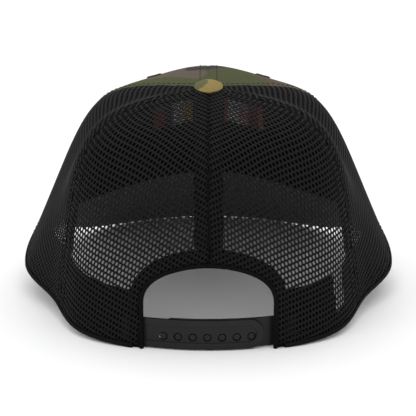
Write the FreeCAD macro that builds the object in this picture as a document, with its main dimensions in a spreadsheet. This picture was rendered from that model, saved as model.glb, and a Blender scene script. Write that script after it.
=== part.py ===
"""Trucker mesh cap: a six-panel crown, a curved visor, a sweatband and a two-piece snap strap.

The crown is described in its own frame: the hem of the rear half lies in the plane Z = 0, the
visor points along -Y and the button is on the vertical line through BUTTON_Y. The whole cap then
leans back by cap_tilt about its rear hem, so that it stands on the rear hem and on the visor's rim.
The visor has a frame of its own, in which its underside is a level half round. That frame droops
by visor_droop about the same line as the crown leans, and visor_seat sets how high it hangs.
Bearings are measured about the button line: 0 is the back, 90 the wearer's left (+X), 180 the front.
"""
import FreeCAD, Part
import math
import os

import Sketcher
from FreeCAD import Placement, Rotation, Vector

doc = FreeCAD.newDocument("trucker_mesh_cap")
sheet = doc.addObject("Spreadsheet::Sheet", "dimensions")

# ---------------------------------------------------------------- driving dimensions (mm, degrees)
DIMENSIONS = [
    # crown
    ("crown_top", 111.0),
    ("button_line_y", -1.0),
    ("bearing_step", 22.5),
    ("seam_angle", 60.0),
    ("seam_flattening", 0.075),
    ("panel_top_rise", 0.975),
    # stance
    ("cap_tilt", 10.5),
    ("rear_hem_y", 85.1),
    ("centring_shift", 22.05),
    ("visor_droop", 41.0),
    ("visor_seat", 113.25),
    # layers, outside to inside
    ("mesh_thick", 0.9),
    ("cloth_thick", 0.7),
    ("backing_thick", 1.2),
    ("tape_thick", 0.6),
    ("layer_gap", 0.1),
    ("tape_gap", 0.15),
    ("sweatband_depth", 3.6),
    ("sweatband_thick", 1.0),
    ("sweatband_width", 30.0),
    ("tail_start", 31.0),
    ("tail_end", 58.0),
    ("band_gap_start", 48.0),
    ("band_gap_end", 55.5),
    ("hem_tape_width", 8.0),
    ("hem_tape_end", 115.0),
    ("visor_flange_width", 13.0),
    ("label_thick", 0.4),
    ("label_outer_bearing", 155.0),
    ("label_inner_bearing", 173.0),
    ("label_low", 33.0),
    ("label_high", 56.0),
    # seam tapes
    ("centre_back_tape", 15.0),
    ("side_tape", 12.0),
    ("front_tape", 12.0),
    # rear arch
    ("arch_half_width", 34.2),
    ("arch_spring", 24.0),
    ("arch_height", 20.2),
    ("arch_power", 2.15),
    ("binding_width", 7.5),
    ("binding_bearing", 35.0),
    ("binding_top", 75.0),
    ("binding_proud", 0.5),
    ("binding_thick", 2.2),
    # visor
    ("visor_radius", 160.0),
    ("visor_half_width", 88.5),
    ("visor_length", 75.7),
    ("visor_power", 2.25),
    ("visor_end_bearing", 126.0),
    ("visor_corner_length", 12.0),
    ("visor_gap", 0.3),
    ("under_cloth", 0.5),
    ("board_thick", 2.0),
    ("top_cloth", 0.6),
    ("board_inset", 1.2),
    ("hem_recovery", 36.0),
    # button
    ("button_radius", 7.75),
    ("button_rise", 2.5),
    ("button_lift", 0.3),
    ("button_cloth", 0.7),
    ("button_shell_thick", 0.7),
    ("rivet_radius", 1.8),
    ("rivet_washer_radius", 6.5),
    ("rivet_washer_thick", 0.8),
    ("rivet_depth", 5.7),
    ("rivet_clearance", 0.35),
    # eyelets
    ("eyelet_bearing", 147.0),
    ("eyelet_rise", 0.66),
    ("eyelet_radius", 4.6),
    ("eyelet_hole", 1.9),
    ("eyelet_proud", 0.9),
    ("eyelet_clearance", 0.1),
    ("punch_length", 12.0),
    # strap
    ("strap_height", 16.0),
    ("strap_face_y", 82.4),
    ("strap_lean", 12.0),
    ("strap_hinge_x", 33.6),
    ("outer_reach", 62.5),
    ("outer_thick", 1.8),
    ("channel_height", 9.0),
    ("channel_depth", 0.6),
    ("channel_end", 0.5),
    ("peg_pitch", 7.65),
    ("peg_count", 7.0),
    ("peg_height", 6.5),
    ("first_hole", 10.1),
    ("hole_radius", 2.2),
    ("strap_gap", 0.3),
    ("inner_reach", 59.0),
    ("inner_thick", 1.4),
    ("inner_taper", 5.0),
    ("peg_radius", 1.8),
    ("peg_length", 1.7),
    ("tab_length", 12.0),
    ("tab_thick", 1.0),
    ("tab_gap", 0.6),
    ("outer_tab_angle", 17.0),
    ("inner_tab_angle", 8.0),
]
# One value per bearing_step, from the back (0) to the front (180); the other side is its mirror.
HEM_REACH = [87.0, 92.3, 97.2, 92.9, 104.0, 104.5, 93.0, 81.0, 76.0]
SHOULDER_REACH = [66.0, 73.5, 78.5, 76.0, 68.0, 73.5, 83.0, 84.0, 83.0]
SHOULDER_HEIGHT = [104.0, 109.0, 111.0, 109.5, 100.5, 97.5, 93.0, 94.5, 95.5]

for name, ring in (("hem_reach", HEM_REACH), ("shoulder_reach", SHOULDER_REACH),
                   ("shoulder_height", SHOULDER_HEIGHT)):
    DIMENSIONS += [(name + "_" + str(index), value) for index, value in enumerate(ring)]

for line, (alias, value) in enumerate(DIMENSIONS, start=1):
    sheet.set("A" + str(line), alias)
    sheet.set("B" + str(line), str(value))
    sheet.setAlias("B" + str(line), alias)
doc.recompute()


def dim(alias):
    """The value of one cell of the sheet."""
    return float(sheet.get(alias))


RING_COUNT = len(HEM_REACH)
CURVE_STEPS = 24            # points along half of the arch's outline and along the visor's root
RIM_STEPS = 32
SHOULDER_STEPS = 6
WHOLE = 160.0               # a cutting solid's size, larger than the crown
MARGIN = 10.0               # how far a cutting solid reaches below what it cuts
BUTTON_Y = dim("button_line_y")
REAR_HEM = Vector(0, dim("rear_hem_y"), 0)
LEAN = Placement(Vector(0, dim("centring_shift"), 0), Rotation(Vector(1, 0, 0), -dim("cap_tilt")), REAR_HEM)
DROOP = math.radians(dim("visor_droop"))
VISOR_TURN = DROOP + math.radians(dim("cap_tilt"))      # from the crown's frame to the visor's
HANG = Placement(Vector(0, dim("centring_shift"), dim("visor_seat") / math.cos(DROOP)),
                 Rotation(Vector(1, 0, 0), dim("visor_droop")), REAR_HEM)
PARTS = []


def keep(piece, label, placement):
    """Name a finished sub-part and put it in its place."""
    piece.Label = label
    piece.Placement = placement
    PARTS.append(piece)
    return piece


# ------------------------------------------------------------------------------ the crown's surface
def ring_value(name, bearing):
    """Smooth (Catmull-Rom) value of a ring of dimensions at any bearing."""
    place = abs((bearing + 180.0) % 360.0 - 180.0) / dim("bearing_step")
    last = RING_COUNT - 1
    start = min(int(place), last - 1)
    part = place - start

    def knot(index):
        index = abs(index)
        if index > last:
            index = 2 * last - index
        return dim(name + "_" + str(index))

    before, first, second, after = [knot(start + step) for step in (-1, 0, 1, 2)]
    linear = (second - before) * part
    square = (2 * before - 5 * first + 4 * second - after) * part ** 2
    cube = (3 * first - 3 * second + after - before) * part ** 3
    return 0.5 * (2 * first + linear + square + cube)


def visor_height(across):
    """Height of the visor's underside in the visor's own frame, across from its middle."""
    radius = dim("visor_radius")
    edge = math.sqrt(radius ** 2 - dim("visor_half_width") ** 2)
    return math.sqrt(radius ** 2 - across ** 2) - edge


def hem_under_visor(bearing):
    """Height of the hem, in the crown's frame, where it meets the visor's underside."""
    angle = math.radians(bearing)
    reach = ring_value("hem_reach", bearing)
    forward = BUTTON_Y + reach * math.cos(angle) - dim("rear_hem_y")
    level = visor_height(reach * math.sin(angle)) + dim("visor_seat")
    return (level + math.sin(VISOR_TURN) * forward) / math.cos(VISOR_TURN)


def hem_height(bearing):
    """The hem follows the visor at the front and returns to the plane Z = 0 beside it."""
    from_back = abs((bearing + 180.0) % 360.0 - 180.0)
    end = dim("visor_end_bearing")
    if from_back >= end:
        return hem_under_visor(from_back)
    back = min(1.0, (end - from_back) / dim("hem_recovery"))
    return hem_under_visor(end) * 0.5 * (1.0 + math.cos(math.pi * back))


def profile(bearing, rise):
    """(reach, height) of the outer surface; rise runs from 0 at the hem to 1 at the button."""
    rest = 1.0 - rise
    middle = 3.0 * rest * rise
    reach = rest ** 3 * ring_value("hem_reach", bearing) + middle * ring_value("shoulder_reach", bearing)
    height = rest ** 3 * hem_height(bearing) + middle * ring_value("shoulder_height", bearing)
    height += rise ** 3 * dim("crown_top")
    seams = math.sin(math.radians(180.0 * bearing / dim("seam_angle"))) ** 2
    reach *= 1.0 - dim("seam_flattening") * seams * math.sin(math.pi * rise)
    return reach, height


def crown_point(bearing, rise, depth=0.0):
    """Point of the crown, depth inside its outer surface."""
    small = 1e-3
    low = profile(bearing, rise - small)
    high = profile(bearing, rise + small)
    along = (high[0] - low[0], high[1] - low[1])
    length = math.hypot(*along)
    reach, height = profile(bearing, rise)
    reach -= depth * along[1] / length
    height += depth * along[0] / length
    angle = math.radians(bearing)
    return Vector(reach * math.sin(angle), BUTTON_Y + reach * math.cos(angle), height)


def rise_at(bearing, width):
    """The rise that lies a given width above the hem, measured along the surface."""
    step = 0.002
    rise = 0.0
    walked = 0.0
    here = crown_point(bearing, 0.0)
    while walked < width:
        rise += step
        there = crown_point(bearing, rise)
        walked += (there - here).Length
        here = there
    return rise


def smooth_edge(points):
    """Edge of one smooth curve through the points."""
    curve = Part.BSplineCurve()
    curve.interpolate(points)
    return curve.toShape()


def straight_edge(start, end):
    return Part.LineSegment(start, end).toShape()


def skin(first, last, outer, inner, low=None, high=None, low_rise=0.0, stations=15, pitch=5.0):
    """Solid layer of the crown between two bearings and two depths.

    low and high give its lower and upper edge as a width above the hem; without high it runs up
    to panel_top_rise.
    """
    count = max(5, int(round((last - first) / pitch)) + 1)
    sections = []
    for number in range(count):
        bearing = first + (last - first) * number / (count - 1)
        bottom = rise_at(bearing, low) if low else low_rise
        top = rise_at(bearing, high) if high else dim("panel_top_rise")
        rises = [bottom + (top - bottom) * step / (stations - 1) for step in range(stations)]
        outside = [crown_point(bearing, rise, outer) for rise in rises]
        inside = [crown_point(bearing, rise, inner) for rise in rises]
        edges = [smooth_edge(outside), straight_edge(outside[-1], inside[-1]),
                 smooth_edge(inside[::-1]), straight_edge(inside[0], outside[0])]
        sections.append(Part.Wire(edges))
    return Part.makeLoft(sections, True, False)


def layer(name, *args, **kwargs):
    """A document object holding one skin of the crown."""
    piece = doc.addObject("Part::Feature", name)
    piece.Shape = skin(*args, **kwargs)
    return piece


MESH = dim("mesh_thick")
CLOTH = dim("cloth_thick")
GAP = dim("layer_gap")
FRONT = CLOTH + GAP + dim("backing_thick")
TAPE = dim("tape_thick")
SEAM = dim("seam_angle")


# ------------------------------------------------------------------------------- rear arch opening
def arch_outline(grow):
    """Closed wire of the arch in the plane Y = 0, grown outwards by a margin."""
    half = dim("arch_half_width") + grow
    top = dim("arch_height") + grow
    spring = dim("arch_spring")
    foot = -MARGIN
    power = 2.0 / dim("arch_power")
    points = []
    for number in range(CURVE_STEPS + 1):
        turn = math.pi * number / CURVE_STEPS
        across = math.copysign(abs(math.cos(turn)) ** power, math.cos(turn)) * half
        points.append(Vector(across, 0, spring + math.sin(turn) ** power * top))
    left = Vector(half, 0, foot)
    right = Vector(-half, 0, foot)
    return Part.Wire([straight_edge(left, points[0]), smooth_edge(points),
                      straight_edge(points[-1], right), straight_edge(right, left)])


def arch_prism(name, grow):
    """Straight prism of the arch, long enough to pass through the back of the crown."""
    face = doc.addObject("Part::Feature", name + "_face")
    face.Shape = Part.Face(arch_outline(grow))
    prism = doc.addObject("Part::Extrusion", name)
    prism.Base = face
    prism.DirMode = "Custom"
    prism.Dir = Vector(0, 1, 0)
    prism.Solid = True
    prism.LengthFwd = WHOLE
    return prism


def cut(name, base, tool):
    piece = doc.addObject("Part::Cut", name)
    piece.Base = base
    piece.Tool = tool
    return piece


def common(name, base, tool):
    piece = doc.addObject("Part::Common", name)
    piece.Base = base
    piece.Tool = tool
    return piece


arch_inner = arch_prism("arch_inner", 0.0)
arch_outer = arch_prism("arch_outer", dim("binding_width"))


# ------------------------------------------------------------------------------------- crown panels
def make_panels():
    """Two back and two side mesh panels, and the cloth and backing of the two front panels."""
    for side, sign in (("left", 1), ("right", -1)):
        back = sorted((0.0, sign * SEAM))
        raw = layer("back_mesh_raw_" + side, back[0], back[1], 0.0, MESH)
        keep(cut("back_mesh_" + side, raw, arch_outer), "back_mesh_" + side, LEAN)
        flank = sorted((sign * SEAM, sign * 2 * SEAM))
        keep(layer("side_mesh_" + side, flank[0], flank[1], 0.0, MESH), "side_mesh_" + side, LEAN)
        front = sorted((sign * 2 * SEAM, sign * 3 * SEAM))
        punch = eyelet_punch(side, sign)
        cloth = layer("front_cloth_raw_" + side, front[0], front[1], 0.0, CLOTH)
        keep(cut("front_panel_" + side, cloth, punch), "front_panel_" + side, LEAN)
        stiff = layer("front_backing_raw_" + side, front[0], front[1], CLOTH + GAP, FRONT)
        keep(cut("front_backing_" + side, stiff, punch), "front_backing_" + side, LEAN)


def eyelet_place(sign):
    """Placement with its Z axis along the crown's outward normal at the eyelet."""
    bearing = sign * dim("eyelet_bearing")
    rise = dim("eyelet_rise")
    foot = crown_point(bearing, rise)
    outward = foot - crown_point(bearing, rise, 1.0)
    return Placement(foot, Rotation(Vector(0, 0, 1), outward))


def through_eyelet(cylinder, sign):
    """Make a cylinder pass right through the crown at the eyelet."""
    cylinder.setExpression("Height", "dimensions.punch_length")
    middle = Placement(Vector(0, 0, -dim("punch_length") / 2), Rotation())
    cylinder.Placement = eyelet_place(sign).multiply(middle)
    return cylinder


def eyelet_punch(side, sign):
    """Cylinder that punches the eyelet's hole through cloth and backing."""
    punch = doc.addObject("Part::Cylinder", "eyelet_punch_" + side)
    punch.setExpression("Radius", "dimensions.eyelet_radius + dimensions.eyelet_clearance")
    return through_eyelet(punch, sign)


def make_eyelets():
    """Thread-bound eyelet rings, flush inside and standing a little proud outside."""
    for side, sign in (("left", 1), ("right", -1)):
        disc = doc.addObject("Part::Cylinder", "eyelet_disc_" + side)
        disc.setExpression("Radius", "dimensions.eyelet_radius")
        wall = "dimensions.cloth_thick + dimensions.layer_gap + dimensions.backing_thick"
        disc.setExpression("Height", wall + " + dimensions.eyelet_proud")
        disc.Placement = eyelet_place(sign).multiply(Placement(Vector(0, 0, -FRONT), Rotation()))
        bore = doc.addObject("Part::Cylinder", "eyelet_bore_" + side)
        bore.setExpression("Radius", "dimensions.eyelet_hole")
        keep(cut("eyelet_" + side, disc, through_eyelet(bore, sign)), "eyelet_" + side, LEAN)


# --------------------------------------------------------------------------- tapes, binding and hem
def seam_tape(label, bearing, width_alias, depth, trim=None):
    """Strip of constant width on the inside of a seam, trimmed by the arch if asked."""
    half = SEAM / 2
    outer = depth + dim("tape_gap")
    raw = layer(label + "_raw", bearing - half, bearing + half, outer, outer + TAPE)
    slab = doc.addObject("Part::Box", label + "_slab")
    slab.setExpression("Length", "dimensions." + width_alias)
    slab.Width = WHOLE
    slab.Height = WHOLE
    turn = Rotation(Vector(0, 0, 1), -bearing)
    corner = turn.multVec(Vector(-dim(width_alias) / 2, 0, 0)) + Vector(0, BUTTON_Y, -MARGIN)
    slab.Placement = Placement(corner, turn)
    tape = common(label + "_strip", raw, slab)
    if trim:
        tape = cut(label + "_trimmed", tape, trim)
    keep(tape, label, LEAN)


def make_tapes():
    seam_tape("seam_tape_centre_back", 0.0, "centre_back_tape", MESH, arch_outer)
    seam_tape("seam_tape_rear_left", SEAM, "side_tape", MESH)
    seam_tape("seam_tape_rear_right", -SEAM, "side_tape", MESH)
    seam_tape("seam_tape_front_left", 2 * SEAM, "front_tape", FRONT)
    seam_tape("seam_tape_front_right", -2 * SEAM, "front_tape", FRONT)
    seam_tape("seam_tape_centre_front", 3 * SEAM, "front_tape", FRONT)


def make_binding():
    """Binding that folds over the raw edge of the arch."""
    proud = dim("binding_proud")
    side = dim("binding_bearing")
    raw = layer("binding_raw", -side, side, -proud, dim("binding_thick") - proud, high=dim("binding_top"))
    ring = cut("binding_prism", arch_outer, arch_inner)
    keep(common("arch_binding", raw, ring), "arch_binding", LEAN)


BAND_LOW = dim("sweatband_depth")
BAND_IN = BAND_LOW + dim("sweatband_thick")


def make_sweatband():
    """Sweatband in three lengths, with the real gap between two of them on the right."""
    start = dim("tail_start")
    end = dim("tail_end")
    lengths = (("sweatband", end, 360.0 - dim("band_gap_end")),
               ("sweatband_tail_left", start, end),
               ("sweatband_tail_right", -dim("band_gap_start"), -start))
    for label, first, last in lengths:
        band = layer(label, first, last, BAND_LOW, BAND_IN, high=dim("sweatband_width"))
        keep(band, label, LEAN)


# ------------------------------------------------------------------------------------------- visor
def visor_plan(inset):
    """Closed wire of the visor in plan, its outer rim drawn in by inset."""
    half = dim("visor_half_width")
    power = 2.0 / dim("visor_power")
    edge_depth = -dim("visor_gap")
    end = dim("visor_end_bearing")
    hem = []
    for number in range(CURVE_STEPS + 1):
        bearing = end + (360.0 - 2 * end) * number / CURVE_STEPS
        point = crown_point(bearing, 0.0, edge_depth)
        hem.append(HANG.inverse().multVec(LEAN.multVec(point)))
    flat = [Vector(point.x, point.y, 0) for point in hem]
    corner = flat[0]
    tip = flat[CURVE_STEPS // 2].y - dim("visor_length") + inset
    spring = corner.y - dim("visor_corner_length")
    half -= inset
    shoulder = []
    for number in range(SHOULDER_STEPS + 1):
        turn = math.pi / 2 * number / SHOULDER_STEPS
        across = corner.x + (half - corner.x) * math.sin(turn)
        shoulder.append(Vector(across, spring + (corner.y - spring) * math.cos(turn), 0))
    rim = []
    for number in range(RIM_STEPS + 1):
        turn = math.pi * number / RIM_STEPS
        across = math.copysign(abs(math.cos(turn)) ** power, math.cos(turn)) * half
        rim.append(Vector(across, spring - math.sin(turn) ** power * (spring - tip), 0))
    mirror = [Vector(-point.x, point.y, 0) for point in shoulder[::-1]]
    return Part.Wire([smooth_edge(shoulder), smooth_edge(rim), smooth_edge(mirror), smooth_edge(flat[::-1])])


def visor_roll(name, offset_expression):
    """Cylinder lying along Y whose wall is one face of the curved visor."""
    roll = doc.addObject("Part::Cylinder", name)
    roll.setExpression("Radius", "dimensions.visor_radius" + offset_expression)
    roll.Height = 2 * WHOLE
    centre = -math.sqrt(dim("visor_radius") ** 2 - dim("visor_half_width") ** 2)
    roll.Placement = Placement(Vector(0, 0, centre), Rotation(Vector(1, 0, 0), 90))
    return roll


def visor_layer(label, inner_roll, outer_roll, plan):
    shell = cut(label + "_roll", outer_roll, inner_roll)
    prism = doc.addObject("Part::Extrusion", label + "_plan")
    prism.Base = plan
    prism.DirMode = "Custom"
    prism.Dir = Vector(0, 0, 1)
    prism.Solid = True
    prism.LengthFwd = WHOLE
    prism.LengthRev = MARGIN
    keep(common(label, shell, prism), label, HANG)


def make_visor():
    """Board between an under cloth and a top cloth, and the cloth flange sewn into the crown."""
    full = doc.addObject("Part::Feature", "visor_plan_full")
    full.Shape = Part.Face(visor_plan(0.0))
    small = doc.addObject("Part::Feature", "visor_plan_board")
    small.Shape = Part.Face(visor_plan(dim("board_inset")))
    under = " + dimensions.under_cloth"
    gap = " + dimensions.layer_gap"
    board = under + gap + " + dimensions.board_thick"
    rolls = [visor_roll("visor_roll_" + str(number), text)
             for number, text in enumerate(("", under, under + gap, board, board + gap,
                                            board + gap + " + dimensions.top_cloth"))]
    visor_layer("visor_under_cover", rolls[0], rolls[1], full)
    visor_layer("visor_board", rolls[2], rolls[3], small)
    visor_layer("visor_top_cover", rolls[4], rolls[5], full)
    end = dim("visor_end_bearing")
    outer = FRONT + TAPE + 2 * GAP
    flange = layer("visor_flange", end, 360.0 - end, outer, BAND_LOW - GAP, high=dim("visor_flange_width"))
    keep(flange, "visor_flange", LEAN)


# --------------------------------------------------------------------------------- button and rivet
def revolved(label, outline, placement):
    """Body turned from a closed outline of (radius, height) points about the button line.

    An outline entry of three pairs is an arc through its middle pair.
    """
    body = doc.addObject("PartDesign::Body", label + "_body")
    sketch = body.newObject("Sketcher::SketchObject", label + "_sketch")
    plane = [item for item in body.Origin.OriginFeatures if item.Role == "XZ_Plane"][0]
    sketch.AttachmentSupport = [(plane, "")]
    sketch.MapMode = "FlatFace"
    for entry in outline:
        corners = [Vector(pair[0], pair[1], 0) for pair in entry]
        curve = Part.Arc(*corners) if len(corners) == 3 else Part.LineSegment(*corners)
        sketch.addGeometry(curve, False)
    turned = body.newObject("PartDesign::Revolution", label + "_turned")
    turned.Profile = sketch
    turned.ReferenceAxis = (sketch, ["V_Axis"])
    turned.Angle = 360.0
    doc.recompute()
    keep(body, label, placement)


def dome(radius, rise):
    """Sphere radius and centre height of a dome with a given base radius and rise."""
    sphere = (radius ** 2 + rise ** 2) / (2 * rise)
    return sphere, rise - sphere


def make_button():
    """Cloth cover over a metal shell, closed by a rivet with a washer inside the crown."""
    radius = dim("button_radius")
    rise = dim("button_rise")
    sphere, centre = dome(radius, rise)
    seat = Vector(0, BUTTON_Y, dim("crown_top") + dim("button_lift"))
    place = LEAN.multiply(Placement(seat, Rotation()))
    depths = [0.0, dim("button_cloth"), dim("button_cloth") + dim("button_shell_thick")]
    arcs = []
    for depth in depths:
        size = sphere - depth
        foot = math.sqrt(size ** 2 - centre ** 2)
        lean = math.atan2(-centre, foot)
        middle = (lean + math.pi / 2) / 2
        knee = (size * math.cos(middle), centre + size * math.sin(middle))
        arcs.append(((foot, 0.0), knee, (0.0, centre + size)))
    names = ("button_cover", "button_shell")
    for number, label in enumerate(names):
        outer = arcs[number]
        inner = arcs[number + 1]
        revolved(label, [outer, (outer[2], inner[2]), inner[::-1], (inner[0], outer[0])], place)
    top = arcs[2][2][1] - dim("rivet_clearance")
    post = dim("rivet_radius")
    washer = dim("rivet_washer_radius")
    low = -dim("rivet_depth")
    ledge = low + dim("rivet_washer_thick")
    corners = [(0.0, low), (washer, low), (washer, ledge), (post, ledge), (post, top), (0.0, top)]
    outline = list(zip(corners, corners[1:] + corners[:1]))
    revolved("button_rivet", outline, place)


# ------------------------------------------------------------------------------------- snap strap
def strap_sketch(body, name, points, arc_end):
    """Closed outline in the body's XY plane; arc_end rounds the far end with a half circle."""
    sketch = body.newObject("Sketcher::SketchObject", name)
    plane = [item for item in body.Origin.OriginFeatures if item.Role == "XY_Plane"][0]
    sketch.AttachmentSupport = [(plane, "")]
    sketch.MapMode = "FlatFace"
    corners = [Vector(across, up, 0) for across, up in points]
    for start, end in zip(corners, corners[1:]):
        sketch.addGeometry(Part.LineSegment(start, end), False)
    if arc_end:
        middle = (corners[0] + corners[-1]) * 0.5
        half = (corners[0] - corners[-1]).Length / 2
        sketch.addGeometry(Part.Arc(corners[-1], middle + Vector(half * arc_end, 0, 0), corners[0]), False)
    else:
        sketch.addGeometry(Part.LineSegment(corners[-1], corners[0]), False)
    return sketch


def circle_sketch(body, name, across, up, radius_alias):
    sketch = body.newObject("Sketcher::SketchObject", name)
    plane = [item for item in body.Origin.OriginFeatures if item.Role == "XY_Plane"][0]
    sketch.AttachmentSupport = [(plane, "")]
    sketch.MapMode = "FlatFace"
    circle = sketch.addGeometry(Part.Circle(Vector(across, up, 0), Vector(0, 0, 1), 1.0), False)
    sketch.addConstraint(Sketcher.Constraint("Radius", circle, dim(radius_alias)))
    sketch.setExpression("Constraints[0]", "dimensions." + radius_alias)
    return sketch


def row_of(body, name, feature, sketch, sign):
    """Linear pattern of a feature along the strap."""
    pattern = body.newObject("PartDesign::LinearPattern", name)
    pattern.Originals = [feature]
    pattern.Direction = (sketch, ["H_Axis"])
    pattern.Reversed = sign < 0
    pattern.setExpression("Length", "dimensions.peg_pitch * (dimensions.peg_count - 1)")
    pattern.Occurrences = int(dim("peg_count"))
    body.Tip = pattern


def strap_frame(across, inward):
    """Upright frame at the strap, leaning inwards with the wall: X along the strap, Y outwards."""
    lean = Placement(Vector(0, dim("strap_face_y"), 0), Rotation(Vector(1, 0, 0), dim("strap_lean")))
    return LEAN.multiply(lean).multiply(Placement(Vector(across, -inward, 0), Rotation()))


def strap_place(across, inward):
    """Strap bodies are drawn lying down: their X runs along X, their Y goes up, their Z inwards."""
    return strap_frame(across, inward).multiply(Placement(Vector(), Rotation(Vector(1, 0, 0), 90)))


def make_outer_strap():
    """Half with the recessed channel and the row of holes; it runs from +X towards -X."""
    tall = dim("strap_height")
    reach = dim("outer_reach")
    body = doc.addObject("PartDesign::Body", "strap_holes_body")
    straight = reach - tall / 2
    outline = strap_sketch(body, "outer_outline", [(-straight, tall), (0, tall), (0, 0), (-straight, 0)], -1)
    plate = body.newObject("PartDesign::Pad", "outer_plate")
    plate.Profile = outline
    plate.setExpression("Length", "dimensions.outer_thick")
    doc.recompute()
    volume = body.Shape.Volume
    low = (tall - dim("channel_height")) / 2
    high = tall - low
    start = -dim("channel_end")
    sketch_points = [(-straight, high), (start, high), (start, low), (-straight, low)]
    groove = strap_sketch(body, "channel_outline", sketch_points, -1)
    channel = body.newObject("PartDesign::Pocket", "channel")
    channel.Profile = groove
    channel.setExpression("Length", "dimensions.channel_depth")
    channel.Reversed = True
    doc.recompute()
    assert body.Shape.Volume < volume, "the channel cuts nothing"
    volume = body.Shape.Volume
    spot = circle_sketch(body, "first_hole_outline", -dim("first_hole"), dim("peg_height"), "hole_radius")
    hole = body.newObject("PartDesign::Pocket", "first_hole_cut")
    hole.Profile = spot
    hole.Type = "ThroughAll"
    hole.Reversed = True
    doc.recompute()
    assert body.Shape.Volume < volume, "the first hole cuts nothing"
    row_of(body, "hole_row", hole, spot, -1)
    doc.recompute()
    keep(body, "strap_holes", strap_place(dim("strap_hinge_x"), 0.0))


def make_inner_strap():
    """Half with the row of pegs; it runs from -X towards +X behind the other half."""
    tall = dim("strap_height")
    reach = dim("inner_reach")
    taper = dim("inner_taper")
    body = doc.addObject("PartDesign::Body", "strap_pegs_body")
    shoulder = reach - taper
    points = [(0, 0), (0, tall), (shoulder, tall), (reach, tall - taper), (reach, taper), (shoulder, 0)]
    outline = strap_sketch(body, "inner_outline", points, 0)
    plate = body.newObject("PartDesign::Pad", "inner_plate")
    plate.Profile = outline
    plate.setExpression("Length", "dimensions.inner_thick")
    doc.recompute()
    last_hole = 2 * dim("strap_hinge_x") - dim("first_hole")
    spot = circle_sketch(body, "first_peg_outline", last_hole, dim("peg_height"), "peg_radius")
    peg = body.newObject("PartDesign::Pad", "first_peg")
    peg.Profile = spot
    peg.setExpression("Length", "dimensions.peg_length")
    peg.Reversed = True
    doc.recompute()
    row_of(body, "peg_row", peg, spot, -1)
    doc.recompute()
    keep(body, "strap_pegs", strap_place(-dim("strap_hinge_x"), dim("outer_thick") + dim("strap_gap")))


def strap_tab(label, sign, depth, angle_alias):
    """Sewn end of a strap half, behind the binding beside the arch."""
    tab = doc.addObject("Part::Box", label)
    tab.setExpression("Length", "dimensions.tab_length")
    tab.setExpression("Width", "dimensions.tab_thick")
    tab.setExpression("Height", "dimensions.strap_height")
    turn = Rotation(Vector(0, 0, 1), -dim(angle_alias))
    if sign < 0:
        turn = Rotation(Vector(0, 0, 1), 180.0 + dim(angle_alias))
    start = sign * (dim("strap_hinge_x") + dim("tab_gap"))
    inward = Vector(0, -dim("tab_thick"), 0) if sign > 0 else Vector()
    place = Placement(turn.multVec(inward), turn)
    keep(tab, label, strap_frame(start, depth).multiply(place))


def make_strap():
    make_outer_strap()
    make_inner_strap()
    strap_tab("strap_tab_left", 1, 0.0, "outer_tab_angle")
    strap_tab("strap_tab_right", -1, dim("outer_thick") + dim("strap_gap"), "inner_tab_angle")


# ------------------------------------------------------------------------------------ small pieces
def make_hem_tapes():
    """Folded hem that fills the step between the mesh and the sweatband."""
    for side, sign in (("left", 1), ("right", -1)):
        span = sorted((sign * dim("tail_start"), sign * dim("hem_tape_end")))
        outer = MESH + TAPE + 2 * GAP
        tape = layer("hem_tape_" + side, span[0], span[1], outer, BAND_LOW - GAP, high=dim("hem_tape_width"))
        keep(tape, "hem_tape_" + side, LEAN)


def make_labels():
    """Two woven labels on the inside of the front panels."""
    depth = FRONT + 2 * GAP
    for side, sign in (("left", 1), ("right", -1)):
        span = sorted((sign * dim("label_outer_bearing"), sign * dim("label_inner_bearing")))
        label = layer("inner_label_" + side, span[0], span[1], depth, depth + dim("label_thick"),
                      low=dim("label_low"), high=dim("label_high"))
        keep(label, "inner_label_" + side, LEAN)


make_panels()
make_eyelets()
make_tapes()
make_binding()
make_sweatband()
make_hem_tapes()
make_visor()
make_button()
make_strap()
make_labels()
doc.recompute()

# ------------------------------------------------------------------------------- check and write
for item in doc.Objects:
    if "Invalid" in item.State or "Error" in item.State:
        raise RuntimeError("failed object: " + item.Name)
whole = FreeCAD.BoundBox()
for piece in PARTS:
    shape = piece.Shape
    if shape.isNull() or not shape.isValid() or not shape.Solids:
        raise RuntimeError("bad shape: " + piece.Label)
    for corner in shape.tessellate(0.2)[0]:
        whole.add(corner)
print("size", whole.XLength, whole.YLength, whole.ZLength)
print("centre", whole.Center.x, whole.Center.y, "lowest", whole.ZMin)

os.makedirs("parts", exist_ok=True)
for piece in PARTS:
    piece.Shape.exportStep("parts/" + piece.Label + ".step")
    print(piece.Label, len(piece.Shape.Solids), round(piece.Shape.Volume, 1))
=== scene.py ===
"""Looks of the trucker mesh cap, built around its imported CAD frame.

The crown's surface is the one formula that the CAD model uses, repeated here in metres: a point is
named by its bearing about the button line (0 at the back, 90 at the wearer's left, 180 at the
front), its rise (0 at the hem, 1 at the button) and its depth inside the outer surface.
"""
import math

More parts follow.
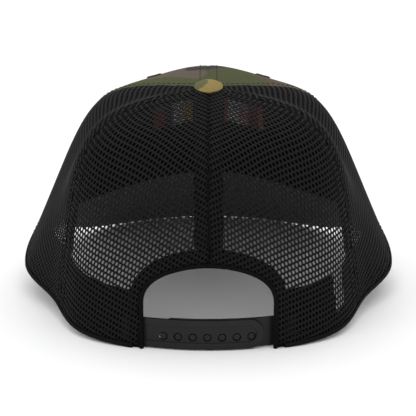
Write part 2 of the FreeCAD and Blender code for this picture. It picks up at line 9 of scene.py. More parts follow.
import bmesh
import bpy
import numpy as np
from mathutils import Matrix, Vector


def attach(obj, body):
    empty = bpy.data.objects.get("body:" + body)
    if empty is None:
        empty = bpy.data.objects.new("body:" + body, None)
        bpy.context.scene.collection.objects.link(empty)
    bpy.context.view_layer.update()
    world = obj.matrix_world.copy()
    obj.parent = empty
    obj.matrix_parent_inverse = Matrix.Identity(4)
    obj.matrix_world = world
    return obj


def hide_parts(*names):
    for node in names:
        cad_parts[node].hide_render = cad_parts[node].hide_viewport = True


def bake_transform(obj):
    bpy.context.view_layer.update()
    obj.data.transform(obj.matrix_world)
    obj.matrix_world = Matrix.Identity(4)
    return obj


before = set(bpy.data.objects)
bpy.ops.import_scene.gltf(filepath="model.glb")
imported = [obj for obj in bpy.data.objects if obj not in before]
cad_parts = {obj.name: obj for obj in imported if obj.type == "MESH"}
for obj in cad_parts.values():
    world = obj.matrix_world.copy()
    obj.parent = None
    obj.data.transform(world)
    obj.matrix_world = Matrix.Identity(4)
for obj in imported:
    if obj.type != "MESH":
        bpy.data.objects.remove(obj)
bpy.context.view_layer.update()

MM = 0.001
DEGREE = math.pi / 180.0
rng = np.random.default_rng(12)

# ------------------------------------------------------------- the crown's dimensions (m, degrees)
HEM_REACH = MM * np.array([87.0, 92.3, 97.2, 92.9, 104.0, 104.5, 93.0, 81.0, 76.0])
SHOULDER_REACH = MM * np.array([66.0, 73.5, 78.5, 76.0, 68.0, 73.5, 83.0, 84.0, 83.0])
SHOULDER_HEIGHT = MM * np.array([104.0, 109.0, 111.0, 109.5, 100.5, 97.5, 93.0, 94.5, 95.5])
BEARING_STEP = 22.5
CROWN_TOP = 111.0 * MM
BUTTON_Y = -1.0 * MM
SEAM_ANGLE = 60.0
SEAM_FLATTENING = 0.075
PANEL_TOP = 0.975
TILT = 10.5 * DEGREE
REAR_HEM_Y = 85.1 * MM
CENTRING_SHIFT = 22.05 * MM
MESH = 0.9 * MM
CLOTH = 0.7 * MM
BACKING = 1.2 * MM
TAPE = 0.6 * MM
GAP = 0.1 * MM
TAPE_GAP = 0.15 * MM
FRONT = CLOTH + GAP + BACKING
BAND_LOW = 3.6 * MM
VISOR_DROOP = 41.0 * DEGREE
VISOR_SEAT = 113.25 * MM
VISOR_TURN = TILT + VISOR_DROOP
VISOR_RADIUS = 160.0 * MM
VISOR_HALF = 88.5 * MM
VISOR_LENGTH = 75.7 * MM
VISOR_POWER = 2.25
VISOR_END = 126.0
VISOR_CORNER = 12.0 * MM
UNDER_CLOTH = 0.5 * MM
BOARD = 2.0 * MM
TOP_CLOTH = 0.6 * MM
HEM_RECOVERY = 36.0
ARCH_HALF = 34.2 * MM
ARCH_SPRING = 24.0 * MM
ARCH_HEIGHT = 20.2 * MM
ARCH_POWER = 2.15
BINDING_WIDTH = 7.5 * MM
BINDING_TOP = 2.2 * MM           # how much wider the binding is over the top of the arch


# ------------------------------------------------------------------------------ the crown's surface
def from_back(bearing):
    """Degrees away from the back, from 0 to 180, on either side."""
    return np.abs((np.asarray(bearing, float) + 180.0) % 360.0 - 180.0)


def ring(values, bearing):
    """Smooth (Catmull-Rom) value of a ring of dimensions at any bearings."""
    place = from_back(bearing) / BEARING_STEP
    last = len(values) - 1
    start = np.minimum(place.astype(int), last - 1)
    part = place - start

    def knot(index):
        index = np.abs(index)
        return values[np.where(index > last, 2 * last - index, index)]

    before, first, second, after = [knot(start + step) for step in (-1, 0, 1, 2)]
    linear = (second - before) * part
    square = (2 * before - 5 * first + 4 * second - after) * part ** 2
    cube = (3 * first - 3 * second + after - before) * part ** 3
    return 0.5 * (2 * first + linear + square + cube)


def visor_height(across, layer=0.0):
    """Height of one of the visor's layers in the visor's own frame; layer 0 is its underside."""
    edge = math.sqrt(VISOR_RADIUS ** 2 - VISOR_HALF ** 2)
    return np.sqrt((VISOR_RADIUS + layer) ** 2 - across ** 2) - edge


def hem_under_visor(bearing):
    """Height at which the visor's underside would meet the crown's hem."""
    reach = ring(HEM_REACH, bearing)
    forward = BUTTON_Y + reach * np.cos(bearing * DEGREE) - REAR_HEM_Y
    level = visor_height(reach * np.sin(bearing * DEGREE)) + VISOR_SEAT
    return (level + math.sin(VISOR_TURN) * forward) / math.cos(VISOR_TURN)


def hem_height(bearing):
    """The hem follows the visor at the front and returns to its own plane beside it."""
    folded = from_back(bearing)
    back = np.clip((VISOR_END - folded) / HEM_RECOVERY, 0.0, 1.0)
    beside = hem_under_visor(np.array(VISOR_END)) * 0.5 * (1.0 + np.cos(math.pi * back))
    return np.where(folded >= VISOR_END, hem_under_visor(np.maximum(folded, VISOR_END)), beside)


def profile(bearing, rise):
    """(reach, height) of the outer surface."""
    rest = 1.0 - rise
    middle = 3.0 * rest * rise
    reach = rest ** 3 * ring(HEM_REACH, bearing) + middle * ring(SHOULDER_REACH, bearing)
    height = rest ** 3 * hem_height(bearing) + middle * ring(SHOULDER_HEIGHT, bearing)
    height = height + rise ** 3 * CROWN_TOP
    seams = np.sin(180.0 * bearing / SEAM_ANGLE * DEGREE) ** 2
    return reach * (1.0 - SEAM_FLATTENING * seams * np.sin(math.pi * rise)), height


def lean(points):
    """Tilt and shift points of the crown's own frame into the object's frame."""
    y = points[..., 1] - REAR_HEM_Y
    z = points[..., 2]
    turned = np.stack([points[..., 0], math.cos(TILT) * y + math.sin(TILT) * z,
                       math.cos(TILT) * z - math.sin(TILT) * y], -1)
    return turned + np.array([0.0, REAR_HEM_Y + CENTRING_SHIFT, 0.0])


def crown(bearing, rise, depth=0.0):
    """Points of the crown, in the object's frame, at a depth inside its outer surface."""
    bearing, rise, depth = np.broadcast_arrays(*[np.asarray(v, float) for v in (bearing, rise, depth)])
    small = 1e-3
    low = profile(bearing, rise - small)
    high = profile(bearing, rise + small)
    along = (high[0] - low[0], high[1] - low[1])
    length = np.hypot(*along)
    reach, height = profile(bearing, rise)
    reach = reach - depth * along[1] / length
    height = height + depth * along[0] / length
    angle = bearing * DEGREE
    return lean(np.stack([reach * np.sin(angle), BUTTON_Y + reach * np.cos(angle), height], -1))


def outward(bearing, rise):
    """Unit vectors out of the crown."""
    step = crown(bearing, rise, -MM) - crown(bearing, rise, 0.0)
    return step / np.linalg.norm(step, axis=-1, keepdims=True)


RISE_TABLE = np.linspace(0.0, PANEL_TOP, 241)


def rise_table(bearing):
    """Width above the hem, along the surface, for each entry of RISE_TABLE."""
    line = crown(bearing, RISE_TABLE)
    return np.concatenate([[0.0], np.cumsum(np.linalg.norm(np.diff(line, axis=0), axis=1))])


def rise_at(bearing, width):
    """The rise that lies a given width above the hem."""
    return float(np.interp(width, rise_table(bearing), RISE_TABLE))


def on_crown(across, height):
    """(bearing, rise) of the rear surface's points at a given x and height of the crown's frame."""
    across, height = np.broadcast_arrays(np.asarray(across, float), np.asarray(height, float))
    bearing = np.zeros(across.shape)
    rise = np.full(across.shape, 0.1)
    for _ in range(12):
        low = np.full(across.shape, -0.05)
        high = np.full(across.shape, 0.6)
        for _ in range(26):
            rise = 0.5 * (low + high)
            under = profile(bearing, rise)[1] < height
            low = np.where(under, rise, low)
            high = np.where(under, high, rise)
        bearing = np.arcsin(np.clip(across / profile(bearing, rise)[0], -0.95, 0.95)) / DEGREE
    return bearing, rise


# ------------------------------------------------------------------------------------ mesh helpers
def new_object(name, data):
    """A new object of the scene that shows some data."""
    made = bpy.data.objects.new(name, data)
    bpy.context.scene.collection.objects.link(made)
    return made


def face_outwards(mesh, merge=0.0):
    """Turn a closed mesh's faces outwards, after joining the points that lie closer than merge."""
    work = bmesh.new()
    work.from_mesh(mesh)
    if merge:
        bmesh.ops.remove_doubles(work, verts=work.verts, dist=merge)
    bmesh.ops.recalc_face_normals(work, faces=work.faces)
    work.to_mesh(mesh)
    work.free()


def add_piece(name, points, faces, material, replaces=(), body="cap", flat=None, smooth=True):
    """One finished piece: its mesh, material, body and the CAD nodes that it stands for."""
    mesh = bpy.data.meshes.new(name)
    mesh.from_pydata([tuple(p) for p in np.asarray(points, float)], [], [tuple(f) for f in faces])
    if flat is not None:
        pattern = mesh.attributes.new("flat", "FLOAT_VECTOR", "POINT")
        spread = np.zeros((len(mesh.vertices), 3), np.float32)
        spread[:, :2] = flat
        pattern.data.foreach_set("vector", spread.ravel())
    face_outwards(mesh)
    mesh.polygons.foreach_set("use_smooth", [smooth] * len(mesh.polygons))
    mesh.materials.append(material)
    piece = new_object(name, mesh)
    if replaces:
        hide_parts(*replaces)
    if body:
        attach(piece, body)
    return piece


def closed_grid(outer, inner):
    """Vertices and quads of a closed slab between two (rows, columns, 3) grids."""
    rows, columns = outer.shape[:2]
    points = np.concatenate([outer.reshape(-1, 3), inner.reshape(-1, 3)])
    shift = rows * columns
    faces = []
    for i in range(rows - 1):
        for j in range(columns - 1):
            a = i * columns + j
            quad = (a, a + 1, a + columns + 1, a + columns)
            faces.append(quad)
            faces.append(tuple(shift + v for v in quad[::-1]))
    rim = [i * columns for i in range(rows)]
    rim += [(rows - 1) * columns + j for j in range(1, columns)]
    rim += [i * columns + columns - 1 for i in range(rows - 2, -1, -1)]
    rim += list(range(columns - 2, 0, -1))
    for a, b in zip(rim, rim[1:] + rim[:1]):
        faces.append((a, b, b + shift, a + shift))
    return points, faces


def pattern_of(grid):
    """Distances along a grid's rows and columns, in millimetres, for the cloth's weave."""
    across = np.linalg.norm(np.diff(grid, axis=0), axis=2)
    along = np.linalg.norm(np.diff(grid, axis=1), axis=2)
    x = np.concatenate([np.zeros((1, grid.shape[1])), np.cumsum(across, axis=0)])
    x -= x[len(x) // 2]
    y = np.concatenate([np.zeros((grid.shape[0], 1)), np.cumsum(along, axis=1)], axis=1)
    return np.stack([x, y], -1).reshape(-1, 2) / MM


def cloth_slab(name, outer, inner, material, replaces):
    """Closed layer of cloth between two grids, its weave laid out along the outer one."""
    points, faces = closed_grid(outer, inner)
    flat = pattern_of(outer)
    return add_piece(name, points, faces, material, replaces, flat=np.concatenate([flat, flat]))


def ring_faces(rings, sides, closed=False):
    """Quads between rings of equally many points; closed joins the last ring to the first.

    Without closed, the first and the last ring each get an end face.
    """
    faces = []
    for i in range(rings if closed else rings - 1):
        for j in range(sides):
            corners = ((i, j), (i, j + 1), (i + 1, j + 1), (i + 1, j))
            faces.append(tuple(ring % rings * sides + side % sides for ring, side in corners))
    if not closed:
        faces.append(tuple(range(sides - 1, -1, -1)))
        faces.append(tuple(range((rings - 1) * sides, rings * sides)))
    return faces


def full_turn(count):
    """Angles at equal steps round a circle."""
    return np.arange(count) * 2 * math.pi / count


def tube(path, normals, radius, sides=6, taper=None):
    """Vertices and faces of a closed tube along a path; taper scales its radius point by point."""
    path = np.asarray(path, float)
    along = np.gradient(path, axis=0)
    along /= np.linalg.norm(along, axis=1, keepdims=True)
    side = np.cross(along, normals)
    side /= np.linalg.norm(side, axis=1, keepdims=True)
    up = np.cross(side, along)
    scale = np.ones(len(path)) if taper is None else np.asarray(taper, float)
    turns = full_turn(sides)[None, :, None]
    rings = path[:, None] + radius * scale[:, None, None] * (
        side[:, None] * np.cos(turns) + up[:, None] * np.sin(turns))
    return rings.reshape(-1, 3), ring_faces(len(path), sides)


def join_parts(parts):
    """One list of vertices and faces out of several."""
    points = []
    faces = []
    shift = 0
    for part_points, part_faces in parts:
        points.append(part_points)
        faces += [tuple(v + shift for v in face) for face in part_faces]
        shift += len(part_points)
    return np.concatenate(points), faces


def walk(path, distances):
    """Points at given distances along a polyline of any width of columns."""
    steps = np.linalg.norm(np.diff(path[:, :3], axis=0), axis=1)
    along = np.concatenate([[0.0], np.cumsum(steps)])
    return np.stack([np.interp(distances, along, column) for column in path.T], 1)


def path_length(path):
    return float(np.linalg.norm(np.diff(path, axis=0), axis=1).sum())


STITCH_SHARES = np.array([0.0, 0.18, 0.5, 0.82, 1.0])       # points along one stitch,
STITCH_LIFT = np.array([-0.9, 0.25, 0.6, 0.25, -0.9])       # their height over the cloth in radii
STITCH_TAPER = np.array([0.55, 0.95, 1.0, 0.95, 0.55])      # and the thread's thickness there


def stitch_parts(path, normals, length, gap, radius):
    """Running stitches along a path on the cloth; each dips into the cloth at both ends."""
    both = np.concatenate([path, normals], axis=1)
    total = path_length(path)
    count = max(1, int(total / (length + gap)))
    pitch = total / count
    parts = []
    for number in range(count):
        found = walk(both, number * pitch + gap / 2 + STITCH_SHARES * (pitch - gap))
        up = found[:, 3:] / np.linalg.norm(found[:, 3:], axis=1, keepdims=True)
        middle = found[:, :3] + radius * STITCH_LIFT[:, None] * up
        parts.append(tube(middle, up, radius, 6, STITCH_TAPER))
    return parts


# --------------------------------------------------------------------------------------- materials
class Look:
    """A material's node tree, with short calls for adding and joining nodes."""

    def __init__(self, name, roughness=0.8, sheen=0.0, specular=0.5):
        self.material = bpy.data.materials.new(name)
        self.material.use_nodes = True
        self.tree = self.material.node_tree
        self.shader = self.tree.nodes["Principled BSDF"]
        self.shader.inputs["Roughness"].default_value = roughness
        self.shader.inputs["Specular IOR Level"].default_value = specular
        if sheen:
            self.shader.inputs["Sheen Weight"].default_value = sheen
            self.shader.inputs["Sheen Roughness"].default_value = 0.4

    def add(self, kind, inputs=(), **settings):
        node = self.tree.nodes.new(kind)
        for key, value in settings.items():
            setattr(node, key, value)
        for key, value in dict(inputs).items():
            if isinstance(value, bpy.types.NodeSocket):
                self.tree.links.new(value, node.inputs[key])
            else:
                node.inputs[key].default_value = value
        return node

    def place(self):
        """The point in the object's frame, in metres."""
        return self.add("ShaderNodeTexCoord").outputs["Object"]

    def cloth_place(self):
        """The point on the flat cloth, in millimetres."""
        return self.add("ShaderNodeAttribute", attribute_name="flat").outputs["Vector"]

    def noise(self, vector, scale, detail=2.0, roughness=0.5, distortion=0.0):
        node = self.add("ShaderNodeTexNoise", {"Vector": vector, "Scale": scale, "Detail": detail,
                                               "Roughness": roughness, "Distortion": distortion})
        return node.outputs["Fac"]

    def math(self, operation, first, second=0.0, third=0.0):
        node = self.add("ShaderNodeMath", {0: first, 1: second, 2: third}, operation=operation)
        return node.outputs[0]

    def vector(self, operation, first, second):
        return self.add("ShaderNodeVectorMath", {0: first, 1: second}, operation=operation).outputs[0]

    def ramp(self, factor, stops, interpolation="LINEAR"):
        node = self.add("ShaderNodeValToRGB", {"Fac": factor})
        node.color_ramp.interpolation = interpolation
        while len(node.color_ramp.elements) < len(stops):
            node.color_ramp.elements.new(0.5)
        for element, (position, color) in zip(node.color_ramp.elements, stops):
            element.position = position
            element.color = (*color, 1.0)
        return node.outputs["Color"]

    def mix(self, factor, first, second, blend="MIX"):
        node = self.add("ShaderNodeMix", data_type="RGBA", blend_type=blend)
        for socket, value in ((node.inputs[0], factor), (node.inputs[6], first), (node.inputs[7], second)):
            if isinstance(value, bpy.types.NodeSocket):
                self.tree.links.new(value, socket)
            elif socket == node.inputs[0]:
                socket.default_value = value
            else:
                socket.default_value = (*value, 1.0)
        return node.outputs[2]

    def color(self, socket):
        self.tree.links.new(socket, self.shader.inputs["Base Color"])

    def rough(self, socket):
        self.tree.links.new(socket, self.shader.inputs["Roughness"])

    def worn(self, printed, wear, low, high):
        """Colour the surface with a print whose brightness wanders between low and high."""
        shade = self.ramp(wear, [(0.25, (low,) * 3), (0.75, (high,) * 3)])
        self.color(self.mix(1.0, printed, shade, "MULTIPLY"))

    def bump(self, height, strength, distance):
        node = self.add("ShaderNodeBump", {"Height": height, "Strength": strength, "Distance": distance})
        self.tree.links.new(node.outputs["Normal"], self.shader.inputs["Normal"])


def srgb(red, green, blue):
    """Linear colour of an 8-bit screen colour."""
    return tuple((v / 255.0 / 12.92) if v < 10.4 else ((v / 255.0 + 0.055) / 1.055) ** 2.4
                 for v in (red, green, blue))


def twill_height(look, pitch=0.75, slope=1.0):
    """Diagonal ribs of a twill weave, with thread-to-thread unevenness."""
    split = look.add("ShaderNodeSeparateXYZ", {"Vector": look.cloth_place()})
    diagonal = look.math("ADD", split.outputs[0], look.math("MULTIPLY", split.outputs[1], slope))
    rib = look.math("SINE", look.math("MULTIPLY", diagonal, 2 * math.pi / pitch))
    cross = look.math("SINE", look.math("MULTIPLY", split.outputs[0], 2 * math.pi / (0.6 * pitch)))
    woven = look.math("ADD", rib, look.math("MULTIPLY", cross, 0.4))
    fuzz = look.noise(look.cloth_place(), 2.2, 3.0, 0.6)
    return look.math("ADD", woven, look.math("MULTIPLY", fuzz, 1.6))


def cloth_look(name, dark, light, pitch=0.75, roughness=0.9, bump=0.35, patches=18.0):
    """Plain woven cloth: two near tones in soft patches, under a twill's ribs."""
    look = Look(name, roughness, 0.0, 0.08)
    tone = look.noise(look.place(), patches, 3.0, 0.6)
    thread = look.noise(look.cloth_place(), 1.6, 2.0, 0.7)
    blend = look.math("ADD", look.math("MULTIPLY", tone, 0.6), look.math("MULTIPLY", thread, 0.4))
    look.color(look.ramp(blend, [(0.3, dark), (0.7, light)]))
    look.bump(twill_height(look, pitch), bump, 0.12 * MM)
    return look.material


# One layer of print: the noise's place, scale, detail and distortion, and the level where it prints.
CAMO_LAYERS = [((0.0, 0.0, 0.0), 21.0, 1.0, 0.5, 0.54),
               ((0.31, 0.17, 0.53), 21.0, 1.0, 0.5, 0.52),
               ((0.83, 0.61, 0.29), 27.3, 1.2, 0.9, 0.59)]
CAMO_STRETCH = (1.0, 1.0, 1.7)


def camo_look(name, ground, inks):
    """Printed camouflage: three layers of blotches over a ground colour, on a twill weave."""
    look = Look(name, 0.9, 0.0, 0.12)
    stretched = look.vector("MULTIPLY", look.place(), CAMO_STRETCH)
    printed = ground
    for (offset, scale, detail, distortion, level), ink in zip(CAMO_LAYERS, inks):
        field = look.noise(look.vector("ADD", stretched, offset), scale, detail, 0.4, distortion)
        printed = look.mix(look.math("GREATER_THAN", field, level), printed, ink)
    look.worn(printed, look.noise(look.cloth_place(), 1.4, 3.0, 0.7), 0.78, 1.12)
    look.bump(twill_height(look, 0.8), 0.4, 0.12 * MM)
    return look.material


def yarn_look(name, dark, light, roughness=0.65):
    """Fine knitted or sewn yarn, with a slight gloss on its fibres."""
    look = Look(name, roughness, 0.0, 0.12)
    fibre = look.noise(look.place(), 900.0, 3.0, 0.7)
    tone = look.noise(look.place(), 25.0, 2.0, 0.6)
    blend = look.math("ADD", look.math("MULTIPLY", fibre, 0.55), look.math("MULTIPLY", tone, 0.45))
    look.color(look.ramp(blend, [(0.32, dark), (0.68, light)]))
    look.bump(look.noise(look.place(), 1800.0, 2.0, 0.6), 0.5, 0.08 * MM)
    return look.material


def plastic_look(name, dark, light, roughness=0.42):
    """Moulded plastic: faint flow marks, fine grain and uneven gloss."""
    look = Look(name, roughness, 0.0, 0.25)
    flow = look.noise(look.place(), 60.0, 3.0, 0.6, 0.6)
    look.color(look.ramp(flow, [(0.3, dark), (0.7, light)]))
    look.rough(look.math("ADD", look.math("MULTIPLY", look.noise(look.place(), 240.0, 3.0, 0.6), 0.22),
                         roughness - 0.11))
    look.bump(look.noise(look.place(), 2400.0, 2.0, 0.5), 0.12, 0.05 * MM)
    return look.material


def metal_look(name, color, roughness=0.35):
    """Stamped metal with a fine brushed grain."""
    look = Look(name, roughness, 0.0, 0.5)
    look.shader.inputs["Metallic"].default_value = 1.0
    grain = look.noise(look.place(), 700.0, 3.0, 0.7)
    bright = tuple(min(1.0, 1.15 * v) for v in color)
    look.color(look.ramp(grain, [(0.3, color), (0.7, bright)]))
    look.bump(grain, 0.1, 0.05 * MM)
    return look.material


KHAKI = srgb(88, 79, 71)
GREEN = srgb(71, 74, 47)
BROWN = srgb(85, 68, 57)
DARK_BROWN = srgb(55, 48, 49)
MUSTARD = srgb(131, 114, 69)
OLIVE = srgb(88, 89, 60)

camo = camo_look("camo_twill", KHAKI, (BROWN, GREEN, DARK_BROWN))
mesh_yarn = yarn_look("mesh_yarn", srgb(10, 10, 11), srgb(18, 18, 20))
black_thread = yarn_look("black_thread", srgb(11, 11, 12), srgb(24, 24, 26))
green_thread = yarn_look("green_thread", srgb(30, 38, 28), srgb(50, 58, 42))
grey_thread = yarn_look("grey_thread", srgb(70, 70, 72), srgb(96, 96, 98))
tape_cloth = cloth_look("tape_cloth", srgb(12, 12, 13), srgb(22, 22, 24), 0.9)
binding_cloth = cloth_look("binding_cloth", srgb(7, 7, 8), srgb(14, 14, 15), 1.1)
band_cloth = cloth_look("band_cloth", srgb(10, 10, 11), srgb(18, 18, 19), 0.6)
backing_cloth = cloth_look("backing_cloth", srgb(12, 12, 13), srgb(21, 21, 22), 1.3)
under_cloth = cloth_look("under_cloth", srgb(84, 84, 87), srgb(102, 102, 105), 0.8)
board_plastic = plastic_look("board_plastic", srgb(212, 212, 208), srgb(226, 226, 222))
strap_plastic = plastic_look("strap_plastic", srgb(13, 13, 14), srgb(21, 21, 23))
button_metal = metal_look("button_metal", (0.55, 0.55, 0.56))


PATCH_X = 4.9 * MM              # the olive patch's middle, from the button's
PATCH_RADIUS = 5.6 * MM
PATCH_SHAPE = (1.0, 0.9, 0.6)


def button_look():
    """Printed twill on the button: mustard with one round olive patch towards the wearer's left."""
    look = Look("button_camo", 0.85, 0.0, 0.15)
    seat = lean(np.array([PATCH_X, BUTTON_Y, CROWN_TOP]))
    offset = look.vector("SUBTRACT", look.place(), tuple(seat))
    scaled = look.vector("MULTIPLY", offset, PATCH_SHAPE)
    reach = look.add("ShaderNodeVectorMath", {0: scaled}, operation="LENGTH").outputs["Value"]
    wander = look.math("MULTIPLY", look.noise(look.place(), 260.0, 1.0, 0.5), 1.6 * MM)
    inside = look.math("LESS_THAN", look.math("ADD", reach, wander), PATCH_RADIUS)
    look.worn(look.mix(inside, MUSTARD, OLIVE), look.noise(look.place(), 1400.0, 3.0, 0.7), 0.8, 1.12)
    look.bump(look.noise(look.place(), 1900.0, 2.0, 0.5), 0.4, 0.1 * MM)
    return look.material


LABEL_WIDTH = 25.5              # millimetres of its own cloth


def label_look(name, stops):
    """Woven label: plain colour blocks side by side, under fine satin threads."""
    look = Look(name, 0.55, 0.0, 0.3)
    split = look.add("ShaderNodeSeparateXYZ", {"Vector": look.cloth_place()})
    across = look.math("ADD", look.math("DIVIDE", split.outputs[0], LABEL_WIDTH), 0.5)
    blocks = look.ramp(across, stops, "CONSTANT")
    look.worn(blocks, look.noise(look.cloth_place(), 3.0, 3.0, 0.6), 0.82, 1.1)
    look.bump(twill_height(look, 0.5, 0.0), 0.3, 0.08 * MM)
    return look.material


button_print = button_look()
WHITE = srgb(205, 203, 200)
RED = srgb(150, 40, 44)
NAVY = srgb(30, 34, 60)
YELLOW = srgb(190, 160, 60)
PINK = srgb(200, 140, 150)
CRIMSON = srgb(128, 24, 40)
ORANGE = srgb(196, 104, 50)
label_left = label_look("label_left", [(0.0, RED), (0.3, NAVY), (0.48, WHITE), (0.74, YELLOW)])
label_right = label_look("label_right", [(0.0, ORANGE), (0.14, CRIMSON), (0.4, PINK), (0.62, WHITE),
                                         (0.88, ORANGE)])


# --------------------------------------------------------------------------- camera, floor and light
def aim(piece, target):
    piece.rotation_mode = "QUATERNION"
    piece.rotation_quaternion = (Vector(target) - piece.location).to_track_quat("-Z", "Y")


def make_camera():
    """The photograph's view: from behind, a little above, with a long lens."""
    target = Vector((0.0, CENTRING_SHIFT, 60.0 * MM))
    elevation = 18.0 * DEGREE
    away = 900.0 * MM
    data = bpy.data.cameras.new("camera")
    data.sensor_width = 36.0
    data.lens = 139.03
    data.shift_x = -0.0012
    data.shift_y = -0.0447
    camera = new_object("camera", data)
    camera.location = target + Vector((0.0, math.cos(elevation), math.sin(elevation))) * away
    aim(camera, target)
    bpy.context.scene.camera = camera


def make_floor():
    bpy.ops.mesh.primitive_plane_add(size=12.0, location=(0, 0, -0.05 * MM))
    floor = bpy.context.object
    floor.name = "floor"
    look = Look("floor", 0.9, 0.0, 0.2)
    tone = look.noise(look.place(), 3.0, 2.0, 0.5)
    look.color(look.ramp(tone, [(0.3, (0.86, 0.86, 0.865)), (0.7, (0.88, 0.88, 0.885))]))
    floor.data.materials.append(look.material)


def add_softbox(name, location, target, size, power):
    data = bpy.data.lights.new(name, "AREA")
    data.shape = "RECTANGLE"
    data.size, data.size_y = size
    data.energy = power
    light = new_object(name, data)
    light.location = location
    aim(light, target)


def make_light():
    world = bpy.data.worlds.new("studio")
    bpy.context.scene.world = world
    world.use_nodes = True
    world.node_tree.nodes["Background"].inputs["Color"].default_value = (1.0, 1.0, 1.0, 1.0)
    world.node_tree.nodes["Background"].inputs["Strength"].default_value = 1.0
    add_softbox("overhead", (0.0, 0.1, 1.5), (0, 0, 0), (1.6, 1.6), 9.0)
    add_softbox("behind_left", (1.2, 1.0, 0.9), (0, 0, 0.06), (0.9, 0.9), 3.0)
    bpy.context.scene.view_settings.view_transform = "Standard"


make_camera()
make_floor()
make_light()


# -------------------------------------------------------------------------------------- mesh panels
HOLE_PITCH = 2.0 * MM
ROW_PITCH = 3.0 * MM
GRAIN_BOW = 2.2                 # how strongly the rows bow towards the seams, per metre
EXTRA_CELLS = 14                # rows and columns beyond the panel, so that turned rows still fill it
KNIT_DEPTH = 0.06 * MM          # of its outer face inside the crown's surface
KNIT_THICK = 0.78 * MM
HOLE_LIP = 0.10                 # how much wider the hole is at its rounded edge
# A cell's corners: half pitches to the side, level over its middle, and the hole's share of the way there.
CELL_RING = [(1, 0, 0.60), (1, 1, 0.54), (0, 2, 0.62), (-1, 1, 0.54), (-1, 0, 0.60),
             (-1, -1, 0.54), (0, -2, 0.62), (1, -1, 0.54)]
YARN_ROUND = 0.14 * MM          # how far down the hole's rounded edge reaches
EDGE_RISE = 0.004               # no hole's middle lies nearer to the panel's lower or upper end
NINTHS = {0: 0, 1: 4, 2: 5}     # a corner's level over its cell's middle, in ninths of a row


MESH_MARGIN = 1.9 * MM          # the nearest that a cell's middle comes to the arch's edge


def within_arch(across, height, grow):
    """Whether a point lies inside the rear arch, grown outwards by a margin."""
    share = abs(across) / (ARCH_HALF + grow)
    if share >= 1.0:
        return False
    return height < ARCH_SPRING + (ARCH_HEIGHT + grow) * (1.0 - share ** ARCH_POWER) ** (1.0 / ARCH_POWER)


